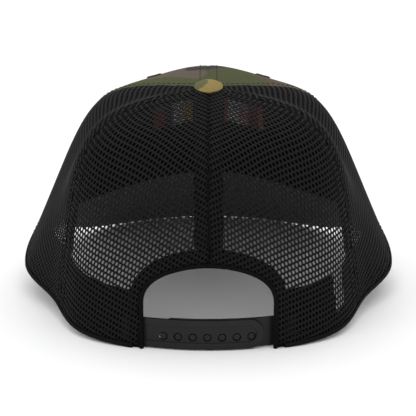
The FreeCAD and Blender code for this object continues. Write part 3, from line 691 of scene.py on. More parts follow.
def lattice(middle, inside_arch, grain):
    """Knitted lattice of one mesh panel: closed cells with rounded holes, cut at the panel's edges.

    The panel's cloth lies flat about its own middle bearing, so its rows bow towards both seams, and
    it is cut with its rows turned by grain degrees.
    """
    widths = rise_table(middle)
    girth = profile(middle, RISE_TABLE)[0]
    half_angle = SEAM_ANGLE / 2
    reach = float(girth.max())
    columns = int(reach * half_angle * DEGREE / HOLE_PITCH) + EXTRA_CELLS
    rows = int(widths[-1] / ROW_PITCH) + EXTRA_CELLS
    side_limit = half_angle - 0.3 * HOLE_PITCH / reach / DEGREE
    pivot = 0.5 * float(widths[-1])
    cosine = math.cos(grain * DEGREE)
    sine = math.sin(grain * DEGREE)

    def place(column_x, row_y):
        x = cosine * column_x - sine * (row_y - pivot)
        y = pivot + sine * column_x + cosine * (row_y - pivot)
        width = y - GRAIN_BOW * x ** 2
        rise = np.interp(width, widths, RISE_TABLE, left=-1.0, right=2.0)
        rise = np.where(width < 0, width / (widths[1] - widths[0]) * RISE_TABLE[1], rise)
        bearing = x / np.interp(np.clip(rise, 0, PANEL_TOP), RISE_TABLE, girth) / DEGREE
        return bearing, rise

    corners = {}
    flat = []
    where = []
    cells = []
    for row in range(-EXTRA_CELLS, rows):
        for column in range(-columns, columns + 1):
            x = (column + 0.5 * (row % 2)) * HOLE_PITCH
            y = (row + 0.5) * ROW_PITCH
            bearing, rise = place(x, y)
            if abs(bearing) > side_limit or not EDGE_RISE < rise < PANEL_TOP - EDGE_RISE:
                continue
            if inside_arch:
                turned = middle + float(bearing)
                reach_here, height_here = profile(turned, float(rise))
                if within_arch(reach_here * math.sin(turned * DEGREE), height_here, MESH_MARGIN):
                    continue
            ring_keys = []
            for side, level, _ in CELL_RING:
                up = NINTHS[abs(level)] * (1 if level > 0 else -1)
                key = (2 * column + row % 2 + side, row * 9 + up)
                if key not in corners:
                    corners[key] = len(where)
                    corner_x = key[0] * HOLE_PITCH / 2
                    corner_y = 0.5 * ROW_PITCH + key[1] * ROW_PITCH / 9
                    corner_bearing, corner_rise = place(corner_x, corner_y)
                    where.append((float(np.clip(corner_bearing, -half_angle, half_angle)),
                                  float(np.clip(corner_rise, 0.0, PANEL_TOP))))
                    flat.append((corner_x / MM, corner_y / MM))
                ring_keys.append(corners[key])
            cells.append(ring_keys)
    where, flat, cells = np.array(where), np.array(flat), np.array(cells)
    shrink = np.array([entry[2] for entry in CELL_RING])

    def drawn_in(values, share):
        """The cells' corners, drawn in towards each cell's middle."""
        centre = values[cells].mean(axis=1, keepdims=True)
        return (centre + (values[cells] - centre) * share[None, :, None]).reshape(-1, 2)

    holes = drawn_in(where, shrink)
    lips = drawn_in(where, shrink + HOLE_LIP)
    hole_flat = drawn_in(flat, shrink)
    levels = ((where, 0.0), (where, KNIT_THICK), (lips, YARN_ROUND), (holes, KNIT_THICK / 2),
              (lips, KNIT_THICK - YARN_ROUND))
    points = np.concatenate([crown(middle + at[:, 0], at[:, 1], KNIT_DEPTH + depth) for at, depth in levels])
    knots = len(where)
    ring_count = len(cells) * len(CELL_RING)
    faces = []
    edges = {}
    for number, ring_keys in enumerate(cells):
        base = 2 * knots + number * len(CELL_RING)
        for side in range(len(CELL_RING)):
            a, b = int(ring_keys[side]), int(ring_keys[(side + 1) % len(CELL_RING)])
            c, d = base + side, base + (side + 1) % len(CELL_RING)
            faces.append((a, b, d, c))
            faces.append((c, d, d + ring_count, c + ring_count))
            faces.append((c + ring_count, d + ring_count, d + 2 * ring_count, c + 2 * ring_count))
            faces.append((c + 2 * ring_count, d + 2 * ring_count, b + knots, a + knots))
            if (b, a) in edges:
                del edges[(b, a)]
            else:
                edges[(a, b)] = True
    faces += [(b, a, a + knots, b + knots) for a, b in edges]
    return points, faces, np.concatenate([flat, flat, hole_flat, hole_flat, hole_flat])


LEFT_GRAIN = 18.0
RIGHT_GRAIN = -12.0


def make_mesh_panels():
    for kind, middle, share in (("back", 30.0, 0.82), ("side", 90.0, 1.0)):
        for side, sign, grain in (("left", 1, LEFT_GRAIN), ("right", -1, RIGHT_GRAIN)):
            name = kind + "_mesh_" + side
            points, faces, flats = lattice(sign * middle, kind == "back", grain)
            piece = add_piece(name + "_knit", points, faces, mesh_yarn, [name], flat=flats)
            bearings = sign * middle + np.linspace(-SEAM_ANGLE / 2, SEAM_ANGLE / 2, 31)[:, None]
            crown(bearings, np.linspace(0.0, PANEL_TOP, 41)[None, :])


def close_to_ends(count):
    """Shares from 0 to 1, closer together towards both ends."""
    even = np.linspace(0.0, 1.0, count)
    return 0.25 * even + 0.75 * (0.5 - 0.5 * np.cos(math.pi * even))


def crown_shell(name, bearings, rises, outer, inner, material, replaces, ripple=0.0):
    """Closed layer of the crown between two depths; the depths may be grids of their own."""
    rows = np.broadcast_to(bearings, rises.shape)
    outside = crown(rows, rises, outer + ripple)
    inside = crown(rows, rises, inner + ripple)
    piece = cloth_slab(name, outside, inside, material, replaces)
    return piece


def seam_groove(bearings, rises, first, last):
    """How much deeper the cloth lies where it turns into the seams at its two sides."""
    reach = profile(bearings, rises)[0]
    near = np.minimum(np.abs(bearings - first), np.abs(bearings - last)) * DEGREE * reach
    pucker = 1.0 + 0.35 * np.sin(2 * math.pi * rises * 34.0 + 0.7 * np.sin(rises * 61.0))
    return 0.42 * MM * pucker * np.exp(-(near / (1.2 * MM)) ** 2)


FRONT_GRID = (49, 65)           # columns and rows of a front panel


def make_front():
    """Printed cloth and stiff backing of the two front panels, with the eyelets' holes."""
    for side, sign in (("left", 1), ("right", -1)):
        first, last = sorted((sign * 2 * SEAM_ANGLE, sign * 3 * SEAM_ANGLE))
        bearings = (first + (last - first) * close_to_ends(FRONT_GRID[0]))[:, None]
        rises = np.broadcast_to(np.linspace(0.0, PANEL_TOP, FRONT_GRID[1])[None, :], FRONT_GRID)
        rows = np.broadcast_to(bearings, rises.shape)
        groove = seam_groove(rows, rises, first, last)
        sag = 0.12 * MM * np.sin(rises * 21.0 + rows * 0.11) * np.sin(math.pi * rises)
        for name, node, outer, inner, ease, material, slot in (
                ("front_cloth_", "front_panel_", 0.0, CLOTH, groove + sag, camo, "camo_twill"),
                ("front_buckram_", "front_backing_", CLOTH + GAP, FRONT, 0.5 * groove, backing_cloth,
                 "backing_black")):
            piece = crown_shell(name + side, rows, rises, outer, inner, material, [node + side],
                                ease)
            punch_eyelet(piece, sign)
            crown(rows, rises)


EYELET_BEARING = 147.0
EYELET_RISE = 0.66
EYELET_RADIUS = 4.6 * MM
EYELET_HOLE = 1.9 * MM
EYELET_PROUD = 0.75 * MM


def eyelet_axes(sign):
    """Centre of an eyelet and the two directions in the cloth and the one out of it."""
    centre = crown(sign * EYELET_BEARING, EYELET_RISE)
    out = outward(np.array(sign * EYELET_BEARING), np.array(EYELET_RISE))
    side = np.cross(out, [0.0, 0.0, 1.0])
    side /= np.linalg.norm(side)
    return centre, side, np.cross(side, out), out


PUNCH_SIDES = 32
PUNCH_REACH = 6.0 * MM


def punch_eyelet(piece, sign):
    """Cut the eyelet's round hole right through a layer."""
    centre, side, up, out = eyelet_axes(sign)
    turns = full_turn(PUNCH_SIDES)[:, None]
    circle_points = 0.5 * (EYELET_HOLE + EYELET_RADIUS) * (side * np.cos(turns) + up * np.sin(turns))
    ends = np.concatenate([centre + circle_points + reach * out for reach in (-PUNCH_REACH, PUNCH_REACH)])
    mesh = bpy.data.meshes.new("punch")
    mesh.from_pydata([tuple(p) for p in ends], [], ring_faces(2, PUNCH_SIDES))
    punch = new_object("punch", mesh)
    cut = piece.modifiers.new("hole", "BOOLEAN")
    cut.operation = "DIFFERENCE"
    cut.solver = "EXACT"
    cut.object = punch
    graph = bpy.context.evaluated_depsgraph_get()
    done = bpy.data.meshes.new_from_object(piece.evaluated_get(graph))
    piece.modifiers.clear()
    piece.data = done
    bpy.data.objects.remove(punch)


EYELET_THREADS = 52
EYELET_SECTION = 14             # points round the ring's section


def make_eyelets():
    """Satin-stitched rings through the front panels: radial threads wrapped over a round edge."""
    steps = EYELET_THREADS * 4
    turns = full_turn(steps)
    section = full_turn(EYELET_SECTION)[None, :]
    middle = 0.5 * (EYELET_RADIUS + EYELET_HOLE)
    half_width = 0.5 * (EYELET_RADIUS - EYELET_HOLE)
    half_height = 0.5 * (FRONT + 0.3 * MM + EYELET_PROUD)
    for side_name, sign in (("left", 1), ("right", -1)):
        centre, side, up, out = eyelet_axes(sign)
        wave = 1.0 + 0.055 * np.cos(turns * EYELET_THREADS) + 0.02 * rng.standard_normal(steps)
        ring_out = side * np.cos(turns)[:, None] + up * np.sin(turns)[:, None]
        away = middle + half_width * np.cos(section) * wave[:, None]
        lift = (EYELET_PROUD - half_height) + half_height * np.sin(section) * wave[:, None]
        points = centre + away[..., None] * ring_out[:, None] + lift[..., None] * out
        add_piece("eyelet_stitching_" + side_name, points.reshape(-1, 3),
                  ring_faces(steps, EYELET_SECTION, closed=True), green_thread,
                  ["eyelet_" + side_name])


def above_binding():
    """The rise of the binding's top edge over the arch."""
    top = ARCH_SPRING + ARCH_HEIGHT + BINDING_WIDTH + BINDING_TOP
    return float(np.interp(top, profile(0.0, RISE_TABLE)[1], RISE_TABLE))


STRIP_ROWS = 70


def seam_strip(place, bearing, width, depth, start=0.0):
    """Tape of constant width on the inside of a seam, from the hem or the arch up to the button."""
    rises = np.linspace(start, PANEL_TOP, STRIP_ROWS)
    reach = profile(float(bearing), rises)[0]
    half = np.degrees(np.arcsin(np.clip(width / 2 / reach, 0.0, math.sin(28 * DEGREE))))
    shares = np.linspace(-1.0, 1.0, 11)
    bearings = bearing + shares[:, None] * half[None, :]
    crease = 0.16 * MM * (1.0 - np.exp(-(shares / 0.12) ** 2))[:, None]
    rows = np.broadcast_to(rises[None, :], bearings.shape)
    outer = depth + TAPE_GAP
    crown_shell("tape_" + place, bearings, rows, outer, outer + TAPE, tape_cloth,
                ["seam_tape_" + place], crease)


CENTRE_TAPE = 15.0 * MM
SIDE_TAPE = 12.0 * MM


def make_seam_tapes():
    """Tapes over the six seams, inside the crown."""
    seam_strip("centre_back", 0, CENTRE_TAPE, MESH, above_binding())
    for side, sign in (("left", 1), ("right", -1)):
        seam_strip("rear_" + side, sign * SEAM_ANGLE, SIDE_TAPE, MESH)
        seam_strip("front_" + side, sign * 2 * SEAM_ANGLE, SIDE_TAPE, FRONT)
    seam_strip("centre_front", 3 * SEAM_ANGLE, SIDE_TAPE, FRONT)


def swept_band(name, bearings, loop, material, replaces):
    """Closed band along the hem, its section a loop of (width above the hem, depth) pairs in mm."""
    loop = MM * np.array(loop)
    rings = []
    for bearing in bearings:
        table = rise_table(bearing)
        rise = np.interp(loop[:, 0], table, RISE_TABLE)
        below = loop[:, 0] < 0
        rise[below] = loop[below, 0] / (table[1] - table[0]) * RISE_TABLE[1]
        rings.append(crown(np.full(len(loop), float(bearing)), rise, loop[:, 1]))
    rings = np.array(rings)
    ring_piece(name, rings, material, replaces)


def ring_piece(name, rings, material, replaces):
    """Closed tube-like piece through rings of equally many points, with an end face on each end."""
    count, sides = rings.shape[:2]
    closed = np.concatenate([rings, rings[:, :1]], axis=1)
    flat = pattern_of(closed).reshape(count, sides + 1, 2)[:, :sides].reshape(-1, 2)
    return add_piece(name, rings.reshape(-1, 3), ring_faces(count, sides), material, replaces,
                     flat=flat)


HEM_FOLD = [(2.0, -0.26), (1.3, -0.42), (0.4, -0.42), (-0.4, -0.1), (-0.7, 0.8), (-0.6, 2.0), (-0.1, 3.0),
            (1.0, 3.46), (4.0, 3.48), (8.0, 3.46), (8.0, 2.96), (4.0, 2.96), (1.2, 2.9), (0.4, 2.5),
            (0.0, 1.8), (0.0, 0.8), (0.3, 0.2), (0.6, 0.02), (1.3, 0.02), (2.0, -0.02)]
HEM_FOLD_START = 25.5           # bearings of the hem fold's ends
HEM_FOLD_END = 122.0
FLANGE_WIDTH = 13.0 * MM


def make_hem():
    """Hem tape folded round the lower edge of the mesh, and the cloth strip inside the visor's seam."""
    for side, sign in (("left", 1), ("right", -1)):
        bearings = np.linspace(sign * HEM_FOLD_START, sign * HEM_FOLD_END, 64)
        swept_band("hem_fold_" + side, bearings, HEM_FOLD, tape_cloth, ["hem_tape_" + side])
    bearings = np.linspace(VISOR_END, 360.0 - VISOR_END, 60)[:, None]
    tops = np.array([rise_at(float(b), FLANGE_WIDTH) for b in bearings[:, 0]])[:, None]
    rises = tops * np.linspace(0.0, 1.0, 12)[None, :]
    crown_shell("visor_seam_strip", bearings, rises, FRONT + TAPE + 2 * GAP, BAND_LOW - GAP, under_cloth,
                ["visor_flange"])


BAND_LOOP = [(0.2, 3.75), (0.8, 3.6), (8.0, 3.6), (16.0, 3.6), (24.0, 3.6), (29.3, 3.62), (29.9, 3.85),
             (29.9, 4.5), (29.3, 4.78), (26.6, 4.62), (20.0, 4.78), (13.0, 4.82), (6.0, 4.72), (1.5, 4.65),
             (0.3, 4.4)]


def make_sweatband():
    """Sweatband in three lengths, with the real gap between two of them on the right."""
    lengths = (("sweatband_front", ["sweatband"], 58.0, 304.5, 150),
               ("sweatband_end_left", ["sweatband_tail_left"], 24.5, 57.6, 24),
               ("sweatband_end_right", ["sweatband_tail_right"], -48.0, -24.5, 18))
    for name, nodes, first, last, count in lengths:
        swept_band(name, np.linspace(first, last, count), BAND_LOOP, band_cloth, nodes)


# ---------------------------------------------------------------------------------- arch binding
BINDING_LOOP = [(1.7, -0.20), (1.35, -0.40), (0.6, -0.40), (0.05, -0.10), (-0.05, 0.6), (0.1, 1.3),
                (0.6, 1.72), (2.0, 1.80), (4.0, 1.80), (7.0, 1.80), (7.5, 1.68), (7.5, 1.28), (7.0, 1.2),
                (4.0, 1.2), (2.2, 1.14), (1.3, 1.02), (0.8, 0.75), (0.72, 0.35), (0.85, 0.05), (1.2, -0.03),
                (1.5, -0.04), (1.7, -0.06)]


def arch_line_points(grow, count):
    """(x, height) points along the arch, from its left foot to its right foot, grown outwards."""
    half = ARCH_HALF + grow
    top = ARCH_HEIGHT + grow + BINDING_TOP * grow / BINDING_WIDTH
    turn = np.linspace(0.0, math.pi, count)
    power = 2.0 / ARCH_POWER
    across = np.sign(np.cos(turn)) * np.abs(np.cos(turn)) ** power * half
    up = ARCH_SPRING + np.sin(turn) ** power * top
    leg = np.linspace(0.0, ARCH_SPRING, 14)[:-1]
    left = np.stack([np.full(13, half), leg], 1)
    right = np.stack([np.full(13, -half), leg[::-1]], 1)
    return np.concatenate([left, np.stack([across, up], 1), right])


def make_binding():
    """Binding folded over the raw edge of the arch."""
    loop = MM * np.array(BINDING_LOOP)
    rings = []
    for grow, depth in loop:
        line = arch_line_points(grow, 84)
        bearing, rise = on_crown(line[:, 0], line[:, 1])
        rings.append(crown(bearing, rise, depth))
    rings = np.stack(rings, axis=1)
    piece = ring_piece("arch_binding_fold", rings, binding_cloth, ["arch_binding"])
    line = arch_line_points(6.3 * MM, 84)
    bearing, rise = on_crown(line[:, 0], line[:, 1])
    path = crown(bearing, rise)
    sew("binding_stitches", [(path, outward(bearing, rise))], black_thread, 2.2 * MM)


def sew(name, rows, material, length=2.6 * MM, gap=0.7 * MM, radius=0.24 * MM):
    """One piece of thread: running stitches along several rows of (path, normals)."""
    parts = []
    for path, normals in rows:
        parts += stitch_parts(path, normals, length, gap, radius)
    points, faces = join_parts(parts)
    return add_piece(name, points, faces, material)


# ---------------------------------------------------------------------------------- crown stitches
STITCH_TOP = 0.96               # rise at which the rows beside the seams end
CENTRE_OFFSET = 6.4 * MM        # of the stitch rows from the seams and from the hem
REAR_OFFSET = 5.0 * MM
FRONT_OFFSET = 4.65 * MM
SIDE_OFFSET = 3.2 * MM
MESH_HEM_OFFSET = 6.4 * MM
FRONT_HEM_OFFSET = 4.0 * MM
BAND_OFFSET = 27.4 * MM
BAND_FACE = 4.72 * MM           # depth of the sweatband's stitches


def beside_seam(bearing, offset, start=0.012):
    """Row at a constant distance beside a seam, from the hem up to where the panels narrow."""
    rises = np.linspace(start, STITCH_TOP, 120)
    reach = profile(float(bearing), rises)[0]
    kept = reach > abs(offset) / math.sin(24 * DEGREE)
    rises = rises[kept]
    turned = bearing + np.degrees(np.arcsin(offset / reach[kept]))
    return crown(turned, rises), outward(turned, rises)


def above_hem(first, last, width, count, depth=0.0):
    """Row at a constant width above the hem."""
    bearings = np.linspace(first, last, count)
    rises = np.array([rise_at(float(b), width) for b in bearings])
    return crown(bearings, rises, depth), outward(bearings, rises)


def make_crown_stitches():
    """Rows of stitches beside the seams, along the hem and along the sweatband's upper edge."""
    rows = [beside_seam(0.0, sign * CENTRE_OFFSET, above_binding()) for sign in (-1, 1)]
    for seam in (-SEAM_ANGLE, SEAM_ANGLE):
        rows += [beside_seam(seam, sign * REAR_OFFSET) for sign in (-1, 1)]
    for sign in (-1, 1):
        rows.append(above_hem(sign * 27.0, sign * 2 * SEAM_ANGLE, MESH_HEM_OFFSET, 90))
    sew("mesh_stitches", rows, black_thread)
    rows = [beside_seam(3 * SEAM_ANGLE, sign * FRONT_OFFSET) for sign in (-1, 1)]
    rows += [beside_seam(sign * 2 * SEAM_ANGLE, sign * SIDE_OFFSET) for sign in (-1, 1)]
    rows.append(above_hem(122.0, 238.0, FRONT_HEM_OFFSET, 110))
    sew("front_stitches", rows, green_thread)
    rows = []
    for first, last, count in ((24.5, 57.6, 30), (-48.0, -24.5, 24), (58.5, 304.0, 180)):
        path, normals = above_hem(first, last, BAND_OFFSET, count, BAND_FACE)
        rows.append((path, -normals))
    sew("sweatband_stitches", rows, black_thread, 3.2 * MM, 0.9 * MM)


# ------------------------------------------------------------------------------------------- visor
VISOR_THICK = UNDER_CLOTH + GAP + BOARD + GAP + TOP_CLOTH
VISOR_COLUMNS = 121
RIM_ROUND = 1.6 * MM            # radius of the top cloth's turn round the rim
RIM_SEAM = 0.35 * MM            # height of the seam between the two cloths
UNDER_EASE = 0.02 * MM          # how far the under cloth lies below the visor's underside


def hang(points, shift=True):
    """Take points, or with shift off directions, from the visor's own frame to the object's."""
    y = points[..., 1] - (REAR_HEM_Y if shift else 0.0)
    z = points[..., 2]
    turned = np.stack([points[..., 0], math.cos(VISOR_DROOP) * y - math.sin(VISOR_DROOP) * z,
                       math.sin(VISOR_DROOP) * y + math.cos(VISOR_DROOP) * z], -1)
    seat = np.array([0.0, REAR_HEM_Y + CENTRING_SHIFT, VISOR_SEAT / math.cos(VISOR_DROOP)])
    return turned + (seat if shift else 0.0)


def unhang(points):
    """Take points from the object's frame to the visor's own."""
    y = points[..., 1] - REAR_HEM_Y - CENTRING_SHIFT
    z = points[..., 2] - VISOR_SEAT / math.cos(VISOR_DROOP)
    return np.stack([points[..., 0], math.cos(VISOR_DROOP) * y + math.sin(VISOR_DROOP) * z + REAR_HEM_Y,
                     math.cos(VISOR_DROOP) * z - math.sin(VISOR_DROOP) * y], -1)


def even_steps(line, count):
    """The same line as points at equal distances."""
    return walk(line, np.linspace(0.0, path_length(line), count))


def visor_root(layer):
    """Where one layer of the visor meets the crown's wall, in plan."""
    bearings = np.linspace(VISOR_END, 360.0 - VISOR_END, 61)
    rises = np.linspace(-0.01, 0.09, 60)
    wall = unhang(crown(bearings[:, None], rises[None, :], -0.15 * MM))
    above = wall[..., 2] - visor_height(wall[..., 0], layer)
    found = []
    for number in range(len(bearings)):
        rise = float(np.interp(0.0, above[number], rises))
        found.append([np.interp(rise, rises, wall[number, :, axis]) for axis in (0, 1)])
    return even_steps(np.array(found), VISOR_COLUMNS)


HEM_ROOT = visor_root(0.0)


def visor_outline(inset, root):
    """Rim of the visor in plan, drawn in by inset, from its left corner to its right corner."""
    corner = HEM_ROOT[0]
    tip = HEM_ROOT[VISOR_COLUMNS // 2][1] - VISOR_LENGTH + inset
    spring = corner[1] - VISOR_CORNER
    half = VISOR_HALF - inset
    quarter = np.linspace(0.0, math.pi / 2, 13)[:-1]
    start = root[0]
    shoulder = np.stack([start[0] + (half - start[0]) * np.sin(quarter),
                         spring + (start[1] - spring) * np.cos(quarter)], 1)
    turn = np.linspace(0.0, math.pi, 97)
    power = 2.0 / VISOR_POWER
    rim = np.stack([np.sign(np.cos(turn)) * np.abs(np.cos(turn)) ** power * half,
                    spring - np.sin(turn) ** power * (spring - tip)], 1)
    other = shoulder[::-1] * np.array([-1.0, 1.0])
    return np.concatenate([shoulder, rim, other])


def visor_surface(layer_root, layer_at):
    """Grid of one face of the visor's cloth; layer_at gives its layer at a distance from the rim."""
    root = visor_root(layer_root)
    rim = even_steps(visor_outline(0.0, root), VISOR_COLUMNS)
    length = np.linalg.norm(rim - root, axis=1)
    close = MM * np.array([0.0, 0.2, 0.5, 0.9, 1.3, 1.7, 2.6])
    rest = np.linspace(0.0, 1.0, 31)[1:]
    rows = []
    for number in range(VISOR_COLUMNS):
        scale = min(1.0, length[number] / (6.0 * MM))
        near = close * scale
        inset = np.concatenate([near, near[-1] + (length[number] - near[-1]) * rest])
        share = (inset / max(length[number], 1e-9))[:, None]
        rows.append(np.concatenate([rim[number] + (root[number] - rim[number]) * share, inset[:, None]], 1))
    rows = np.array(rows)
    layer = layer_at(rows[..., 2])
    return hang(np.stack([rows[..., 0], rows[..., 1], visor_height(rows[..., 0], layer)], -1))


def rounded(inset, half):
    """Height of a half-round edge over its middle, at a distance in from the edge."""
    return np.sqrt(np.clip(half ** 2 - np.clip(half - inset, 0.0, half) ** 2, 0.0, None))


STITCH_INSETS = MM * np.array([3.2, 11.0, 19.0, 27.0, 35.0, 43.0, 51.0])


def quilt(inset):
    """Dip of the cloth along the visor's stitch rows."""
    near = np.abs(inset[..., None] - STITCH_INSETS).min(axis=-1)
    return 0.16 * MM * np.exp(-(near / (0.9 * MM)) ** 2) * (inset > 2 * MM)


def visor_piece(name, outer, inner, material, replaces):
    """One cloth of the visor, its columns joined where they run together at the corners."""
    piece = cloth_slab(name, outer, inner, material, replaces)
    face_outwards(piece.data, 0.001 * MM)


def make_visor():
    """Top and under cloth that meet round the board's rim, and the rows of stitches through them."""
    above = (VISOR_THICK - RIM_SEAM) / RIM_ROUND
    lift = UNDER_CLOTH + GAP + BOARD + GAP

    def top_outside(inset):
        return RIM_SEAM + above * rounded(inset, RIM_ROUND) - quilt(inset)

    def top_inside(inset):
        return RIM_SEAM + (lift - RIM_SEAM) * np.clip((inset - 0.45 * MM) / (0.75 * MM), 0, 1)

    def low_outside(inset):
        return RIM_SEAM - rounded(inset, RIM_SEAM) + 0.7 * quilt(inset) - UNDER_EASE

    def low_inside(inset):
        step = np.clip((inset - 0.55 * MM) / (0.65 * MM), 0, 1)
        return RIM_SEAM + (UNDER_CLOTH - RIM_SEAM) * step - UNDER_EASE

    visor_piece("visor_top_cloth", visor_surface(VISOR_THICK, top_outside), visor_surface(lift, top_inside),
                camo, ["visor_top_cover"])
    visor_piece("visor_under_cloth", visor_surface(0.0, low_outside), visor_surface(UNDER_CLOTH, low_inside),
                under_cloth, ["visor_under_cover"])
    for name, layer, side, material, slot in (
            ("visor_top_stitches", VISOR_THICK - 0.12 * MM, 1.0, green_thread, "eyelet_thread"),
            ("visor_under_stitches", 0.1 * MM, -1.0, grey_thread, "visor_under_grey")):
        rows = []
        root = visor_root(layer)
        for inset in STITCH_INSETS:
            line = visor_outline(float(inset), root)
            behind = np.interp(-line[:, 0], -root[:, 0], root[:, 1], left=1.0, right=1.0)
            beyond = np.abs(line[:, 0]) > root[0][0]
            behind = np.where(beyond, root[0][1] - 2 * MM, behind - 1.5 * MM)
            line = line[line[:, 1] < behind]
            line = even_steps(line, 240)
            path = hang(np.stack([line[:, 0], line[:, 1], visor_height(line[:, 0], layer)], -1))
            tilt = line[:, 0] / (VISOR_RADIUS + layer)
            up = np.stack([tilt, np.zeros(len(tilt)), np.sqrt(1.0 - tilt ** 2)], -1)
            rows.append((path, side * hang(up, False)))
        sew(name, rows, material)


# ------------------------------------------------------------------------------------------ button
BUTTON_RADIUS = 7.75 * MM
BUTTON_RISE = 2.5 * MM
BUTTON_LIFT = 0.3 * MM
BUTTON_CLOTH = 0.7 * MM
BUTTON_STEPS = 96


def make_button():
    """Cloth dome with small pleats gathered under its edge, which is drawn down onto the crown."""
    sphere = (BUTTON_RADIUS ** 2 + BUTTON_RISE ** 2) / (2 * BUTTON_RISE)
    centre = BUTTON_RISE - sphere
    turns = full_turn(BUTTON_STEPS)[None, :]
    full = math.asin(BUTTON_RADIUS / sphere)
    outer = [(sphere * math.sin(a), centre + sphere * math.cos(a)) for a in np.linspace(0.02, 1.0, 18) * full]
    skirt = [(BUTTON_RADIUS + 0.12 * MM, -0.25 * MM), (BUTTON_RADIUS - 0.1 * MM, -0.6 * MM),
             (BUTTON_RADIUS - 0.75 * MM, -0.6 * MM), (BUTTON_RADIUS - 0.72 * MM, -0.1 * MM)]
    thin = sphere - BUTTON_CLOTH
    inner = [(thin * math.sin(a), centre + thin * math.cos(a)) for a in np.linspace(0.93, 0.02, 14) * full]
    loop = np.array(outer + skirt + inner)
    hem = len(outer)
    gather = np.clip((loop[:, 0] / BUTTON_RADIUS - 0.55) / 0.45, 0.0, 1.0) ** 2
    gather[hem + 2:] = 0.0
    pleats = 0.09 * MM * np.cos(11 * turns + 0.8 * np.sin(3 * turns))
    radius = loop[:, :1] + gather[:, None] * pleats
    height = np.tile(loop[:, 1:], (1, BUTTON_STEPS))
    rises = np.linspace(0.8, 0.999, 200)
    for number, turn in enumerate(turns[0]):
        reach, level = profile(90.0 - turn / DEGREE, rises)
        seat = np.interp(-BUTTON_RADIUS, -reach, level) - CROWN_TOP - BUTTON_LIFT
        height[hem, number] = min(-0.25 * MM, 0.5 * seat)
        height[hem + 1:hem + 3, number] = min(-0.6 * MM, seat)
    points = np.stack([radius * np.cos(turns), radius * np.sin(turns) + BUTTON_Y,
                       height + CROWN_TOP + BUTTON_LIFT], -1)
    piece = add_piece("button_cloth", lean(points).reshape(-1, 3), ring_faces(len(loop), BUTTON_STEPS),
                      button_print, ["button_cover"])


# ------------------------------------------------------------------------------------------ labels
LABEL_OUTER = 155.0
LABEL_INNER = 173.0
LABEL_LOW = 33.0 * MM
LABEL_HIGH = 56.0 * MM
LABEL_THICK = 0.4 * MM
LABEL_GRID = (25, 21)           # columns and rows of a label


def make_labels():
    """Two plain woven labels, sewn on the inside of the front panels."""
    depth = FRONT + 2 * GAP
    rows = []
    for side, sign, material in (("left", 1, label_left), ("right", -1, label_right)):
        bearings = np.linspace(sign * LABEL_OUTER, sign * LABEL_INNER, LABEL_GRID[0])
        low = np.array([rise_at(float(b), LABEL_LOW) for b in bearings])
        high = np.array([rise_at(float(b), LABEL_HIGH) for b in bearings])
        rises = low[:, None] + (high - low)[:, None] * np.linspace(0, 1, LABEL_GRID[1])[None, :]
        spread = np.broadcast_to(np.linspace(0, 1, LABEL_GRID[0])[:, None], LABEL_GRID)
        puff = -0.12 * MM * np.sin(math.pi * spread) ** 2 * np.sin(3 * math.pi * spread)
        crown_shell("label_" + side, bearings[:, None], rises, depth, depth + LABEL_THICK, material,
                    ["inner_label_" + side], puff)
        for edge in (0.04, 0.96):
            line = low + (high - low) * edge
            rows.append((crown(bearings, line, depth + 0.42 * MM), -outward(bearings, line)))
    sew("label_stitches", rows, black_thread, 1.6 * MM, 0.5 * MM, 0.16 * MM)


# ------------------------------------------------------------------------------------- snap strap
STRAP_HEIGHT = 16.0 * MM
STRAP_FACE_Y = 82.4 * MM
STRAP_LEAN = 12.0 * DEGREE
HINGE_X = 33.6 * MM
OUTER_REACH = 62.5 * MM
OUTER_THICK = 1.8 * MM
CHANNEL_HEIGHT = 9.0 * MM
CHANNEL_DEPTH = 0.6 * MM
CHANNEL_END = 0.5 * MM
PEG_PITCH = 7.65 * MM
PEG_COUNT = 7
PEG_HEIGHT = 6.5 * MM
FIRST_HOLE = 10.1 * MM
HOLE_RADIUS = 2.2 * MM
STRAP_GAP = 0.3 * MM
INNER_REACH = 59.0 * MM
INNER_THICK = 1.4 * MM
INNER_TAPER = 5.0 * MM
PEG_RADIUS = 1.8 * MM
PEG_LENGTH = 1.7 * MM
TAB_END = 12.6 * MM
OUTER_TAB_ANGLE = 17.0 * DEGREE
INNER_TAB_ANGLE = 8.0 * DEGREE
STRAP_BEVEL = 0.22 * MM
PLATE_INSET = 0.03 * MM         # of the plate with the holes inside the border's outline
STRAP_BULGE = 5.0 * MM          # how far the middle of the closed strap stands out behind its ends


def strap_to_object(along, up, inward, sign):
    """Points of a strap half, straightened, in the object's frame: along runs to the sewn end."""
    x = np.clip((HINGE_X + np.asarray(along)) / HINGE_X, -1.0, 1.0)
    outward_y = STRAP_BULGE * (1.0 - x ** 2) - inward
    crown_points = np.stack([sign * (HINGE_X + along),
                             STRAP_FACE_Y + math.cos(STRAP_LEAN) * outward_y - math.sin(STRAP_LEAN) * up,
                             math.sin(STRAP_LEAN) * outward_y + math.cos(STRAP_LEAN) * up], -1)
    return lean(crown_points)


def bend_to_tab(along, inward, angle, face):
    """Turn the sewn end inwards past the hinge, round a gentle bend about the strap's face."""
    spread = 0.6 * MM
    table = np.linspace(-spread, TAB_END, 160)
    turn = angle * np.clip((table + spread) / (2 * spread), 0.0, 1.0)
    step = table[1] - table[0]
    path_x = table[0] + np.concatenate([[0.0], np.cumsum(np.cos(turn[:-1])) * step])
    path_in = np.concatenate([[0.0], np.cumsum(np.sin(turn[:-1])) * step])
    here = np.interp(along, table, turn, left=0.0)
    x = np.where(along > table[0], np.interp(along, table, path_x), along)
    depth = np.interp(along, table, path_in, left=0.0)
    from_face = inward - face
    return x - from_face * np.sin(here), face + depth + from_face * np.cos(here)


